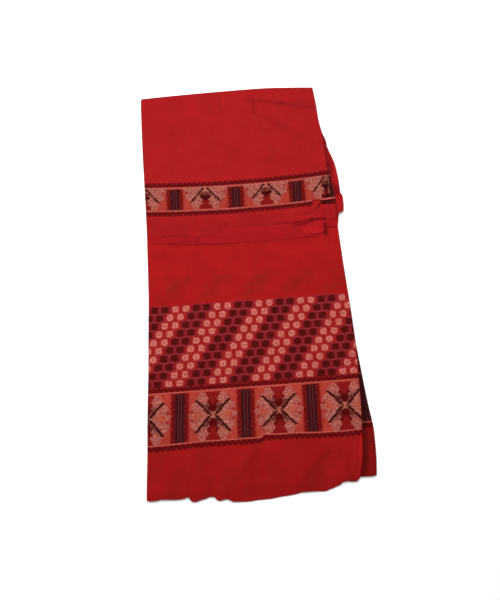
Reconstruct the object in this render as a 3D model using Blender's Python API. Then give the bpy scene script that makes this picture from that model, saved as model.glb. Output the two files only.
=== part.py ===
"""Mekhela, a long woven cotton skirt cloth, folded flat and lying on a surface.

The tube of cloth is folded in three across its width, and its waist end is then turned
over the front. Looking down on it, +X is to the right, +Y runs from the hem to the top
fold, and +Z is up. The origin lies on the surface under the middle of the folded cloth.
Lengths are in metres.
"""

import math
from collections import namedtuple

import bpy
import numpy as np

# Driving thicknesses
WALL = 0.0012
UNDER_WALL = 0.0011
SEAM_GAP = 0.0003
HIDDEN_STACK = 0.0036
FLOOR_CLEARANCE = 0.0003

# Heights of the pile of layers, from the surface up
UNDER_BASE = HIDDEN_STACK + SEAM_GAP
UNDER_TOP = UNDER_BASE + UNDER_WALL
FRONT_BASE = UNDER_TOP + SEAM_GAP
FRONT_TOP = FRONT_BASE + WALL
FLAP_STACK_BASE = FRONT_TOP + SEAM_GAP
FLAP_STACK_TOP = FLAP_STACK_BASE + HIDDEN_STACK
FLAP_UNDER_BASE = FLAP_STACK_TOP + SEAM_GAP
FLAP_UNDER_TOP = FLAP_UNDER_BASE + UNDER_WALL
FLAP_TOP = FLAP_UNDER_TOP + SEAM_GAP + WALL

# The top fold is a half round, which the flap's wall follows down to the surface
FOLD_RADIUS = (FLAP_TOP - FLOOR_CLEARANCE) / 2
FOLD_HEIGHT = FLAP_TOP - FOLD_RADIUS
FOLD_TURN = math.radians(150)
FOLD_STEPS = 9
INNER_FOLD_RADIUS = FOLD_RADIUS - WALL - SEAM_GAP
FOLD_FOOT_REACH = 0.0020
PANEL_END_INSET = 0.0040

# Edges of the walls: a side fold rolls down, a free edge droops, a hidden one is flat
Roll = namedtuple("Roll", "radius turn steps")
SIDE_FOLD_TURN = math.radians(150)
SIDE_FOLD_STEPS = 5
FREE_EDGE = Roll(radius=0.0022, turn=math.radians(22), steps=2)
FLAT_EDGE = Roll(radius=0.0, turn=0.0, steps=0)
OPEN_TURN = math.radians(24)
OPEN_LENGTH = 0.026
OPEN_INSET = 0.0110
UNDER_PANEL_START = 0.0090

# Hidden layers, each with its own rounded edge, drawn in by its own setback
LAYER_SETBACKS = (0.0, 0.0013, 0.0004, 0.0018)
LEVELS_PER_LAYER = 3
LAYER_GROOVE = 0.0009
STACK_SIDE_INSET = 0.0054
STACK_OPEN_INSET = 0.0010
STACK_END_INSET = 0.0030
STEP_START = 0.0036
STEP_END = 0.0032
BODY_FLARE = 0.0040
FLAP_FLARE = 0.0090

# Numbers of stations along and points across each piece
FRONT_STATIONS = 24
FRONT_POINTS = 33
UNDER_STATIONS = 16
UNDER_POINTS = 13
FLAP_STATIONS = 20
FLAP_POINTS = 27
FLAP_UNDER_STATIONS = 17
FLAP_UNDER_POINTS = 19
STACK_STATIONS = 14
STACK_POINTS = 13

# Body of the folded cloth, a row for each section from the hem to the top fold
BodySection = namedtuple("BodySection", "y left front_right under_right")
BODY_SECTIONS = (
    BodySection(y=-0.352, left=-0.1887, front_right=0.1560, under_right=0.1846),
    BodySection(y=-0.320, left=-0.1875, front_right=0.1642, under_right=0.1874),
    BodySection(y=-0.283, left=-0.1857, front_right=0.1674, under_right=0.1880),
    BodySection(y=-0.231, left=-0.1842, front_right=0.1704, under_right=0.1826),
    BodySection(y=-0.186, left=-0.1824, front_right=0.1712, under_right=0.1785),
    BodySection(y=-0.137, left=-0.1802, front_right=0.1726, under_right=0.1742),
    BodySection(y=-0.081, left=-0.1786, front_right=0.1708, under_right=0.1692),
    BodySection(y=0.006, left=-0.1762, front_right=0.1662, under_right=0.1646),
    BodySection(y=0.080, left=-0.1762, front_right=0.1630, under_right=0.1614),
    BodySection(y=0.150, left=-0.1762, front_right=0.1606, under_right=0.1590),
    BodySection(y=0.260, left=-0.1785, front_right=0.1500, under_right=0.1484),
    BodySection(y=0.365, left=-0.1797, front_right=0.1404, under_right=0.1388),
)

# Turned-over waist end, a row for each section from its lower edge to the top fold
FlapSection = namedtuple("FlapSection", "y left right under_right")
FLAP_SECTIONS = (
    FlapSection(y=0.088, left=-0.1748, right=0.1612, under_right=0.1622),
    FlapSection(y=0.103, left=-0.1751, right=0.1630, under_right=0.1645),
    FlapSection(y=0.112, left=-0.1756, right=0.1640, under_right=0.1705),
    FlapSection(y=0.118, left=-0.1757, right=0.1645, under_right=0.1765),
    FlapSection(y=0.140, left=-0.1759, right=0.1648, under_right=0.1766),
    FlapSection(y=0.172, left=-0.1768, right=0.1640, under_right=0.1730),
    FlapSection(y=0.205, left=-0.1776, right=0.1625, under_right=0.1688),
    FlapSection(y=0.247, left=-0.1787, right=0.1574, under_right=0.1570),
    FlapSection(y=0.268, left=-0.1790, right=0.1506, under_right=0.1496),
    FlapSection(y=0.295, left=-0.1793, right=0.1462, under_right=0.1452),
    FlapSection(y=0.330, left=-0.1796, right=0.1440, under_right=0.1428),
    FlapSection(y=0.365, left=-0.1797, right=0.1412, under_right=0.1398),
)

# Hem line of the front, from left to right
HemPoint = namedtuple("HemPoint", "x y")
FRONT_HEM = (
    HemPoint(x=-0.187, y=-0.3525),
    HemPoint(x=-0.132, y=-0.3552),
    HemPoint(x=-0.123, y=-0.3542),
    HemPoint(x=-0.112, y=-0.3602),
    HemPoint(x=-0.097, y=-0.3558),
    HemPoint(x=-0.075, y=-0.3564),
    HemPoint(x=-0.062, y=-0.3606),
    HemPoint(x=-0.042, y=-0.3656),
    HemPoint(x=0.008, y=-0.3636),
    HemPoint(x=0.050, y=-0.3588),
    HemPoint(x=0.067, y=-0.3570),
    HemPoint(x=0.098, y=-0.3575),
    HemPoint(x=0.112, y=-0.3545),
    HemPoint(x=0.131, y=-0.3455),
    HemPoint(x=0.150, y=-0.3452),
    HemPoint(x=0.160, y=-0.3400),
    HemPoint(x=0.170, y=-0.3370),
)

# Straight hem of the layer under the front
UNDER_HEM_LEFT = HemPoint(x=-0.187, y=-0.3490)
UNDER_HEM_RIGHT = HemPoint(x=0.188, y=-0.3380)

# Waist edge: where the turned-over top layer ends, and where the layer under it ends
WaistPoint = namedtuple("WaistPoint", "x top_y under_y")
WAIST_EDGE = (
    WaistPoint(x=-0.180, top_y=0.0950, under_y=0.0785),
    WaistPoint(x=-0.147, top_y=0.0925, under_y=0.0750),
    WaistPoint(x=-0.100, top_y=0.0885, under_y=0.0735),
    WaistPoint(x=-0.045, top_y=0.0825, under_y=0.0732),
    WaistPoint(x=-0.013, top_y=0.0970, under_y=0.0738),
    WaistPoint(x=0.020, top_y=0.1015, under_y=0.0738),
    WaistPoint(x=0.062, top_y=0.1025, under_y=0.0722),
    WaistPoint(x=0.092, top_y=0.1010, under_y=0.0718),
    WaistPoint(x=0.116, top_y=0.1015, under_y=0.0745),
    WaistPoint(x=0.132, top_y=0.1030, under_y=0.0825),
    WaistPoint(x=0.145, top_y=0.1045, under_y=0.0905),
    WaistPoint(x=0.166, top_y=0.1060, under_y=0.0960),
    WaistPoint(x=0.180, top_y=0.1065, under_y=0.1120),
)

# Top fold line, from left to right
FoldPoint = namedtuple("FoldPoint", "x y")
TOP_FOLD = (
    FoldPoint(x=-0.180, y=0.3642),
    FoldPoint(x=-0.125, y=0.3672),
    FoldPoint(x=-0.017, y=0.3712),
    FoldPoint(x=0.050, y=0.3726),
    FoldPoint(x=0.100, y=0.3708),
    FoldPoint(x=0.145, y=0.3682),
)

# Largest creases: soft ridges in which the top walls stand clear of what they lie on
Crease = namedtuple("Crease", "start end height width")
BODY_CREASES = (
    Crease(start=(0.010, -0.285), end=(-0.062, -0.372), height=0.0016, width=0.014),
    Crease(start=(0.132, -0.290), end=(0.066, -0.366), height=0.0017, width=0.015),
    Crease(start=(-0.116, -0.325), end=(-0.110, -0.366), height=0.0011, width=0.013),
    Crease(start=(-0.130, 0.020), end=(-0.152, -0.020), height=0.0007, width=0.016),
    Crease(start=(-0.045, 0.026), end=(-0.066, -0.012), height=0.0006, width=0.016),
    Crease(start=(0.090, 0.034), end=(0.064, -0.010), height=0.0008, width=0.016),
    Crease(start=(0.150, -0.060), end=(0.158, -0.210), height=0.0009, width=0.013),
)
FLAP_CREASES = (
    Crease(start=(0.030, 0.350), end=(0.140, 0.334), height=0.0011, width=0.012),
    Crease(start=(0.036, 0.312), end=(0.120, 0.288), height=0.0008, width=0.014),
    Crease(start=(-0.029, 0.362), end=(-0.031, 0.330), height=0.0007, width=0.011),
    Crease(start=(0.150, 0.262), end=(0.156, 0.190), height=0.0015, width=0.010),
    Crease(start=(0.128, 0.172), end=(0.162, 0.190), height=0.0016, width=0.011),
    Crease(start=(-0.150, 0.112), end=(-0.035, 0.108), height=0.0009, width=0.011),
    Crease(start=(0.010, 0.122), end=(0.150, 0.128), height=0.0009, width=0.011),
)
CREASE_FADE = 0.018

Finish = namedtuple("Finish", "colour roughness")
FRONT_FINISH = Finish(colour=(0.40, 0.012, 0.012, 1.0), roughness=0.86)
UNDER_FINISH = Finish(colour=(0.27, 0.010, 0.010, 1.0), roughness=0.88)
FLAP_FINISH = Finish(colour=(0.43, 0.014, 0.016, 1.0), roughness=0.86)
HIDDEN_FINISH = Finish(colour=(0.30, 0.010, 0.012, 1.0), roughness=0.88)
SHARP_ANGLE = math.radians(40)


def clear_scene():
    """Remove every object that the scene starts with."""
    for item in list(bpy.data.objects):
        bpy.data.objects.remove(item, do_unlink=True)


def fabric_material(name, finish):
    """Return a cloth material of one colour."""
    material = bpy.data.materials.new(name)
    material.use_nodes = True
    shader = material.node_tree.nodes["Principled BSDF"]
    shader.inputs["Base Color"].default_value = finish.colour
    shader.inputs["Roughness"].default_value = finish.roughness
    shader.inputs["Metallic"].default_value = 0.0
    return material


def add_object(name, points, faces, finish):
    """Make one closed, smoothly shaded object from points and faces."""
    mesh = bpy.data.meshes.new(name)
    mesh.from_pydata([tuple(point) for point in points], [], faces)
    mesh.materials.append(fabric_material(name + "_cloth", finish))
    mesh.shade_smooth()
    mesh.set_sharp_from_angle(angle=SHARP_ANGLE)
    item = bpy.data.objects.new(name, mesh)
    bpy.context.scene.collection.objects.link(item)
    return item


def smooth_step(value):
    """Return 0 below 0, 1 above 1 and a soft rise between them."""
    value = np.clip(value, 0.0, 1.0)
    return value * value * (3 - 2 * value)


def read_table(rows, key, column, at):
    """Read a smooth curve through one column of a table, at the key values asked for."""
    keys = np.array([getattr(row, key) for row in rows])
    values = np.array([getattr(row, column) for row in rows])
    slopes = np.gradient(values, keys)
    at = np.clip(np.asarray(at, float), keys[0], keys[-1])
    index = np.clip(np.searchsorted(keys, at) - 1, 0, len(keys) - 2)
    span = keys[index + 1] - keys[index]
    part = (at - keys[index]) / span
    bow = slopes[index] * part * (1 - part) ** 2 - slopes[index + 1] * part**2 * (1 - part)
    return values[index] + (values[index + 1] - values[index]) * smooth_step(part) + span * bow


def crease_lift(creases, x, y):
    """Add up the soft ridges at each place."""
    lift = np.zeros(np.broadcast(x, y).shape)
    for crease in creases:
        start = np.array(crease.start)
        run = np.array(crease.end) - start
        length = np.hypot(run[0], run[1])
        along = ((x - start[0]) * run[0] + (y - start[1]) * run[1]) / length
        aside = ((y - start[1]) * run[0] - (x - start[0]) * run[1]) / length
        beyond = np.maximum(np.maximum(-along, along - length), 0.0)
        profile = np.exp(-((aside / crease.width) ** 2))
        lift = lift + crease.height * profile * smooth_step(1 - beyond / CREASE_FADE)
    return lift


def body_lift(x, y):
    """Height that the body's creases add, gone where the flap covers them."""
    return crease_lift(BODY_CREASES, x, y) * smooth_step((waist_under_y(x) - y) / CREASE_FADE)


def flap_lift(x, y):
    """Height that the flap's creases add, gone where the top fold begins."""
    return crease_lift(FLAP_CREASES, x, y) * smooth_step((fold_start_y(x) - y) / CREASE_FADE)


def fold_start_y(x):
    """Return y where the top fold's half round begins."""
    return read_table(TOP_FOLD, "x", "y", x) - FOLD_RADIUS


def front_hem_y(x):
    """Return y of the front's hem."""
    return read_table(FRONT_HEM, "x", "y", x)


def under_hem_y(x):
    """Return y of the straight hem under the front's."""
    ends_x = (UNDER_HEM_LEFT.x, UNDER_HEM_RIGHT.x)
    return np.interp(x, ends_x, (UNDER_HEM_LEFT.y, UNDER_HEM_RIGHT.y))


def waist_top_y(x):
    """Return y where the turned-over top layer ends."""
    return read_table(WAIST_EDGE, "x", "top_y", x)


def waist_under_y(x):
    """Return y where the layer under the turned-over one ends."""
    return read_table(WAIST_EDGE, "x", "under_y", x)


def section_y(sections, part):
    """Return y of a section, a part of the way from a table's first row to its last."""
    return sections[0].y + (sections[-1].y - sections[0].y) * part


def fold_radius(top, bottom, thickness):
    """Return the middle radius of a side fold between two heights."""
    return (top - bottom - thickness) / 2


def opening_share(y):
    """Return 0 along the sides and 1 at the top fold, where the side folds open."""
    start = fold_start_y(0.0) - OPEN_LENGTH - OPEN_INSET
    return smooth_step((y - start) / OPEN_LENGTH)


def side_fold(radius, y=None):
    """Return a side fold's roll, eased open towards the top fold if y is given."""
    share = 0.0 if y is None else opening_share(y)
    turn = SIDE_FOLD_TURN + (OPEN_TURN - SIDE_FOLD_TURN) * share
    return Roll(radius, turn, SIDE_FOLD_STEPS)


def across_profile(left, right, left_roll, right_roll, count):
    """Return x, drop and tilt of a wall's middle line, from its left to its right edge."""
    left_angle = np.linspace(0.0, left_roll.turn, left_roll.steps + 1)
    right_angle = np.linspace(0.0, right_roll.turn, right_roll.steps + 1)
    left_flat = left + left_roll.radius * math.sin(min(left_roll.turn, math.pi / 2))
    right_flat = right - right_roll.radius * math.sin(min(right_roll.turn, math.pi / 2))
    left_x = left_flat - left_roll.radius * np.sin(left_angle)
    right_x = right_flat + right_roll.radius * np.sin(right_angle)
    flat_x = np.linspace(left_flat, right_flat, count)[1:-1]
    flat_zero = np.zeros(len(flat_x))
    left_drop = left_roll.radius * (1 - np.cos(left_angle))
    right_drop = right_roll.radius * (1 - np.cos(right_angle))
    x = np.concatenate([left_x[::-1], flat_x, right_x])
    drop = np.concatenate([left_drop[::-1], flat_zero, right_drop])
    tilt = np.concatenate([-left_angle[::-1], flat_zero, right_angle])
    return x, drop, tilt


def rim_indices(rows, columns):
    """Return the indices of a grid's outer points, counterclockwise from its first."""
    bottom = list(range(columns))
    right = [row * columns + columns - 1 for row in range(1, rows)]
    top = [(rows - 1) * columns + column for column in range(columns - 2, -1, -1)]
    left = [row * columns for row in range(rows - 2, 0, -1)]
    return bottom + right + top + left


def grid_faces(rows, columns, first=0):
    """Return the upward faces of a grid of points, numbered from first."""
    faces = []
    for row in range(rows - 1):
        for column in range(columns - 1):
            corner = first + row * columns + column
            faces.append((corner, corner + 1, corner + columns + 1, corner + columns))
    return faces


def add_wall(name, outer, inner, finish):
    """Close an outer and an inner grid of points into a wall."""
    rows, columns = outer.shape[:2]
    half = rows * columns
    faces = grid_faces(rows, columns)
    faces += [face[::-1] for face in grid_faces(rows, columns, half)]
    rim = rim_indices(rows, columns)
    for here, after in zip(rim, rim[1:] + rim[:1]):
        faces.append((here, half + here, half + after, after))
    points = np.concatenate([outer.reshape(-1, 3), inner.reshape(-1, 3)])
    return add_object(name, points, faces, finish)


def sweep_wall(profile, path, stations, thickness):
    """Return outer and inner points of a wall, a row for each station of its length.

    profile(part) gives the middle line across, and path(part, x) gives y, z and lean
    of the middle face before it drops, where part starts at 0.
    """
    outer = []
    inner = []
    for part in stations:
        x, drop, tilt = profile(part)
        y, z, lean = path(part, x)
        middle = np.stack([x, y - drop * np.sin(lean), z - drop * np.cos(lean)], axis=-1)
        along = np.cos(tilt) * np.sin(lean)
        upward = np.cos(tilt) * np.cos(lean)
        normal = np.stack([np.sin(tilt), along, upward], axis=-1)
        outer.append(middle + normal * thickness / 2)
        inner.append(middle - normal * thickness / 2)
    return np.array(outer), np.array(inner)


def build_front_panel():
    """Top layer of the body, folded down over the left side."""
    radius = fold_radius(FRONT_TOP, FLOOR_CLEARANCE, WALL)

    def profile(part):
        y = section_y(BODY_SECTIONS, part)
        left = read_table(BODY_SECTIONS, "y", "left", y) + WALL / 2
        right = read_table(BODY_SECTIONS, "y", "front_right", y)
        return across_profile(left, right, side_fold(radius), FREE_EDGE, FRONT_POINTS)

    def path(part, x):
        start = front_hem_y(x)
        y = start + (fold_start_y(x) - PANEL_END_INSET - start) * part
        return y, FRONT_BASE + WALL / 2 + body_lift(x, y), np.zeros(len(x))

    outer, inner = sweep_wall(profile, path, np.linspace(0, 1, FRONT_STATIONS), WALL)
    return add_wall("front_panel", outer, inner, FRONT_FINISH)


def build_under_panel():
    """Second layer of the body, folded down over the right side, where it shows."""
    radius = fold_radius(UNDER_TOP, FLOOR_CLEARANCE, UNDER_WALL)

    def profile(part):
        y = section_y(BODY_SECTIONS, part)
        left = read_table(BODY_SECTIONS, "y", "left", y) + UNDER_PANEL_START
        right = read_table(BODY_SECTIONS, "y", "under_right", y) - UNDER_WALL / 2
        return across_profile(left, right, FLAT_EDGE, side_fold(radius), UNDER_POINTS)

    def path(part, x):
        start = under_hem_y(x)
        y = start + (fold_start_y(x) - PANEL_END_INSET - start) * part
        return y, np.full(len(x), UNDER_BASE + UNDER_WALL / 2), np.zeros(len(x))

    outer, inner = sweep_wall(profile, path, np.linspace(0, 1, UNDER_STATIONS), UNDER_WALL)
    return add_wall("under_panel", outer, inner, UNDER_FINISH)


def build_flap_under_panel():
    """Second layer of the turned-over end, showing at its right and below its edge."""
    radius = fold_radius(FLAP_UNDER_TOP, FLAP_STACK_BASE, UNDER_WALL)

    def profile(part):
        y = section_y(FLAP_SECTIONS, part)
        left = read_table(FLAP_SECTIONS, "y", "left", y) + UNDER_PANEL_START
        right = read_table(FLAP_SECTIONS, "y", "under_right", y) - UNDER_WALL / 2
        return across_profile(left, right, FLAT_EDGE, side_fold(radius, y), FLAP_UNDER_POINTS)

    def path(part, x):
        start = waist_under_y(x)
        y = start + (fold_start_y(x) - start) * part
        return y, np.full(len(x), FLAP_UNDER_BASE + UNDER_WALL / 2), np.zeros(len(x))

    outer, inner = sweep_wall(profile, path, np.linspace(0, 1, FLAP_UNDER_STATIONS), UNDER_WALL)
    return add_wall("flap_under_panel", outer, inner, UNDER_FINISH)


def build_flap_panel():
    """Turned-over top layer, from the waist edge over the top fold to the surface."""
    radius = fold_radius(FLAP_TOP, FLAP_STACK_BASE, WALL)
    flat = np.linspace(0.0, 1.0, FLAP_STATIONS)
    turned = 1.0 + np.linspace(0.0, 1.0, FOLD_STEPS + 1)[1:]

    def profile(part):
        y = section_y(FLAP_SECTIONS, min(part, 1.0))
        left = read_table(FLAP_SECTIONS, "y", "left", y) + WALL / 2
        right = read_table(FLAP_SECTIONS, "y", "right", y)
        return across_profile(left, right, side_fold(radius, y), FREE_EDGE, FLAP_POINTS)

    def path(part, x):
        start = waist_top_y(x)
        y = start + (fold_start_y(x) - start) * min(part, 1.0)
        lean = np.full(len(x), FOLD_TURN * max(part - 1.0, 0.0))
        reach = FOLD_RADIUS - WALL / 2 + flap_lift(x, y)
        return y + reach * np.sin(lean), FOLD_HEIGHT + reach * np.cos(lean), lean

    outer, inner = sweep_wall(profile, path, np.concatenate([flat, turned]), WALL)
    return add_wall("flap_panel", outer, inner, FLAP_FINISH)


def layer_inset(level):
    """Return how far a stack's edge draws in at a level, from 0 below to 1 on top."""
    place = level * len(LAYER_SETBACKS)
    layer = min(int(place), len(LAYER_SETBACKS) - 1)
    return LAYER_SETBACKS[layer] + LAYER_GROOVE * (2 * (place - layer) - 1) ** 2


def fold_end_reach(height):
    """Return how far a stack runs on inside the top fold's half round at a height."""
    inside = INNER_FOLD_RADIUS**2 - (height - FOLD_HEIGHT) ** 2
    return math.sqrt(max(inside, FOLD_FOOT_REACH**2))


def stack_rows(start, fold_start, far):
    """Return y of a stack's stations from its free end to its end in the top fold."""
    parts = np.linspace(0.0, 1.0, STACK_STATIONS)[:, None]
    rows = start + (fold_start - STEP_START - start) * parts
    return np.concatenate([rows, [fold_start - STEP_END, fold_start, far]])


def add_stack(name, sections, right_column, free_end, base, upper_face, end_top, flare):
    """Close the hidden layers of one stack into a solid with layered edges.

    right_column names the right edge that it follows, free_end(x) is y of its free end,
    upper_face(x, y) its height above the surface, end_top that height in the top fold,
    and flare the length over which its sides widen.
    """
    columns = np.linspace(0.0, 1.0, STACK_POINTS)
    row_count = STACK_STATIONS + 3
    rim = rim_indices(row_count, STACK_POINTS)
    steps = len(LAYER_SETBACKS) * LEVELS_PER_LAYER
    middle = np.zeros(1)
    middle_fold = fold_start_y(middle)
    middle_y = stack_rows(free_end(middle), middle_fold, middle_fold)[:, 0]
    flare_share = smooth_step((middle_y - middle_fold + flare) / flare)
    side_inset = STACK_SIDE_INSET + (STACK_OPEN_INSET - STACK_SIDE_INSET) * flare_share
    left = read_table(sections, "y", "left", middle_y) + side_inset
    right = read_table(sections, "y", right_column, middle_y) - side_inset
    points = []
    for step in range(steps + 1):
        level = step / steps
        inset = layer_inset(level)
        x = (left + inset)[:, None] + (right - left - 2 * inset)[:, None] * columns
        reach = fold_end_reach(base + (end_top - base) * level) - inset
        start = free_end(x[0]) + inset
        fold_start = fold_start_y(x[-1])
        y = stack_rows(start, fold_start, fold_start + reach)
        z = base + (upper_face(x, y) - base) * level
        grid = np.stack([x, y, z], axis=-1).reshape(-1, 3)
        points.append(grid if step == steps else grid[rim])
    faces = [tuple(range(len(rim)))[::-1]]
    last = steps * len(rim)
    for step in range(steps):
        lower = [step * len(rim) + place for place in range(len(rim))]
        upper = [last + place for place in rim]
        if step < steps - 1:
            upper = [place + len(rim) for place in lower]
        for here in range(len(rim)):
            after = (here + 1) % len(rim)
            faces.append((lower[here], lower[after], upper[after], upper[here]))
    faces += grid_faces(row_count, STACK_POINTS, last)
    return add_object(name, np.concatenate(points), faces, HIDDEN_FINISH)


def build_body_layers():
    """Hidden layers of the body, lying on the surface and filling the top fold's foot."""

    def free_end(x):
        return under_hem_y(x) + STACK_END_INSET

    def upper_face(x, y):
        step = smooth_step((y - fold_start_y(x) + STEP_START) / (STEP_START - STEP_END))
        return HIDDEN_STACK + (FRONT_TOP - HIDDEN_STACK) * step

    name = "body_layers"
    edges = (BODY_SECTIONS, "under_right")
    return add_stack(name, *edges, free_end, 0.0, upper_face, FRONT_TOP, BODY_FLARE)


def build_flap_layers():
    """Hidden layers of the turned-over end, lying on the front."""

    def free_end(x):
        return waist_under_y(x) + STACK_END_INSET

    def upper_face(x, y):
        return np.full(y.shape, FLAP_STACK_TOP)

    name = "flap_layers"
    edges = (FLAP_SECTIONS, "right")
    heights = (FLAP_STACK_BASE, upper_face, FLAP_STACK_TOP)
    return add_stack(name, *edges, free_end, *heights, FLAP_FLARE)


def main():
    """Build every piece of the folded cloth."""
    clear_scene()
    build_body_layers()
    build_under_panel()
    build_front_panel()
    build_flap_layers()
    build_flap_under_panel()
    build_flap_panel()


main()
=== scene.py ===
"""Mekhela, a long woven cotton skirt cloth, folded flat and lying on a pale floor.

The cloth is a tube. It is folded in three across its width, and its waist end is then
turned over the front, so that six layers of the body carry six layers of the turned-over
end. Seen from above, +X is to the right, +Y runs from the hem to the top fold, and +Z is
up. Lengths are in metres, and a pattern's own sizes are in millimetres of cloth.
"""

import logging
import math
from dataclasses import dataclass, fields
from enum import Enum
from typing import Any, Callable, NamedTuple, Union

import bpy
import numpy as np
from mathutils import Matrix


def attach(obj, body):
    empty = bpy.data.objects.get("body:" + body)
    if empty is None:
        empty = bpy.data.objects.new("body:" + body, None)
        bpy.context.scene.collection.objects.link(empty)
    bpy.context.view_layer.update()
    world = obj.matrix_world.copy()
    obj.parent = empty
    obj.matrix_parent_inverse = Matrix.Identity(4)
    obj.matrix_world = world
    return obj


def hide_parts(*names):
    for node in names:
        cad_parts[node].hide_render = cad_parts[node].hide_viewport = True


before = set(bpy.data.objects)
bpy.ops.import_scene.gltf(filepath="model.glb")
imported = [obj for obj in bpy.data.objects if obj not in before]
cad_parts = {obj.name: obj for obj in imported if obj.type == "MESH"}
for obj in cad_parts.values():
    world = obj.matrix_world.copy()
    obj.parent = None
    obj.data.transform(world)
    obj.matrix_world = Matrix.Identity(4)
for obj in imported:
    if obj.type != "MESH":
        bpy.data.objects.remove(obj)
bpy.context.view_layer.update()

log = logging.getLogger("mekhela")

Array = np.ndarray
Tint = tuple[float, float, float]
Point = tuple[float, float, float]
Ramp = tuple[float, float]
MM = 0.001
PER_METRE = 1000.0
WEAVE_MAP = "Weave"
# Mesh attribute of painted shade: darkening in folds, creases and beside edges, and below 0 painted
# highlight.
PAINTED_SHADE_MAP = "PaintedFoldShade"


def rise(value: Array, start: float, end: float) -> Array:
    """Return a soft rise from 0 at start to 1 at end: three squares less two cubes."""
    held = np.clip((value - start) / (end - start), 0.0, 1.0)
    return held * held * (3 - 2 * held)


def steps(count: int, start: float = 0.0, end: float = 1.0) -> Array:
    """Return a number of even steps from start to end, without the start itself."""
    return np.linspace(start, end, count + 1)[1:]


class Table:
    """A short table in millimetres, read as smooth curves over its first column."""

    def __init__(self, columns: str, *rows: tuple[float, ...]) -> None:
        """Keep the columns, in metres.

        Args:
            columns: their names.
            rows: the table, ordered by its first column.
        """
        names = columns.split()
        self.columns = dict(zip(names, np.array(rows, float).T / PER_METRE))
        self.keys = self.columns[names[0]]

    def span(self, part: Array) -> Array:
        """Return the first column's value at a share of the way through the table."""
        return self.keys[0] + (self.keys[-1] - self.keys[0]) * part

    def at(self, column: str, key: Array) -> Array:
        """Read a smooth curve through one column.

        Between two rows the curve is the cubic that has their values and a slope at each: the
        harmonic mean of the steepness before and after it, or 0 at a peak or a dip.

        Args:
            column: name of the column that is read.
            key: the first column's values asked for.

        Returns:
            The column's values there.
        """
        keys, values = self.keys, self.columns[column]
        steep = np.diff(values) / np.diff(keys)
        product, total = steep[:-1] * steep[1:], steep[:-1] + steep[1:]
        inner = np.where(product > 0, 2 * product / np.where(product > 0, total, 1.0), 0.0)
        slopes = np.concatenate([steep[:1], inner, steep[-1:]])
        key = np.clip(np.asarray(key, float), keys[0], keys[-1])
        index = np.clip(np.searchsorted(keys, key) - 1, 0, len(keys) - 2)
        span = keys[index + 1] - keys[index]
        part = (key - keys[index]) / span
        bow = slopes[index] * part * (1 - part) ** 2 - slopes[index + 1] * part**2 * (1 - part)
        return values[index] + (values[index + 1] - values[index]) * rise(part, 0.0, 1.0) + span * bow


class Crease(NamedTuple):
    """A soft ridge or, with a height below 0, a trough, and its painted shade: the share by which it
    darkens the colour, and below 0 a painted highlight.

    Its lengths are in millimetres, and fade is how far past its ends it fades out.
    """

    start_x: float
    start_y: float
    end_x: float
    end_y: float
    height: float
    width: float
    shade: float = 0.0
    fade: float = 18.0


class CreaseField:
    """The sum of a table of creases over a panel."""

    def __init__(self, *rows: tuple[float, ...]) -> None:
        """Keep the table, whose columns are those of Crease."""
        self.creases = [Crease(*row) for row in rows]

    def _sum(self, x: Array, y: Array, column: str, narrow: float) -> Array:
        """Add up one column of the table: a bell across each crease, faded past its ends.

        Args:
            x: places across.
            y: places along.
            column: name of the column that gives each crease's size.
            narrow: what the crease's width is multiplied by.

        Returns:
            The sum at each place.
        """
        total = np.zeros(np.broadcast(x, y).shape)
        for crease in self.creases:
            run_x, run_y = crease.end_x - crease.start_x, crease.end_y - crease.start_y
            length = math.hypot(run_x, run_y)
            from_x, from_y = x / MM - crease.start_x, y / MM - crease.start_y
            along = (from_x * run_x + from_y * run_y) / length
            aside = (from_y * run_x - from_x * run_y) / length
            beyond = np.maximum(np.maximum(-along, along - length), 0.0)
            bell = np.exp(-((aside / (crease.width * narrow)) ** 2))
            total = total + getattr(crease, column) * bell * rise(beyond, crease.fade, 0.0)
        return total

    def lift(self, x: Array, y: Array) -> Array:
        """Return the height that the creases add at each place."""
        return self._sum(x, y, "height", 1.0) * MM

    def shade(self, x: Array, y: Array) -> Array:
        """Return the creases' painted shade at each place, up to nearly black, and below 0 their painted
        highlight.
        """
        return np.clip(self._sum(x, y, "shade", 0.8), -0.9, 0.94)


BODY_SECTIONS = Table(
    "y left front_right under_right",
    (-352, -188.7, 156, 184.6), (-320, -187.5, 164.2, 187.4), (-283, -185.7, 167.4, 188),
    (-231, -184.2, 170.4, 182.6), (-186, -182.4, 171.2, 178.5), (-137, -180.2, 172.6, 174.2),
    (-81, -178.6, 170.8, 169.2), (6, -176.2, 166.2, 164.6), (80, -176.2, 163, 161.4),
    (150, -176.2, 160.6, 159), (260, -178.5, 150, 148.4), (365, -179.7, 140.4, 138.8),
)
FLAP_SECTIONS = Table(
    "y left right under_right",
    (88, -174.8, 161.2, 162.2), (103, -175.1, 162.2, 164.5), (114.2, -175.6, 162.6, 166.8),
    (117, -175.7, 162.6, 174.8), (130, -175.8, 162.2, 176.2), (146, -176, 160, 176.4),
    (152, -176.2, 159, 172.6), (172, -176.8, 158, 172), (205, -177.6, 157.4, 168.8),
    (247, -178.7, 156.2, 156.6), (268, -179, 150.4, 149.6), (295, -179.3, 146.2, 145.2),
    (330, -179.6, 144, 142.8), (365, -179.7, 141.2, 139.8),
)
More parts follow.
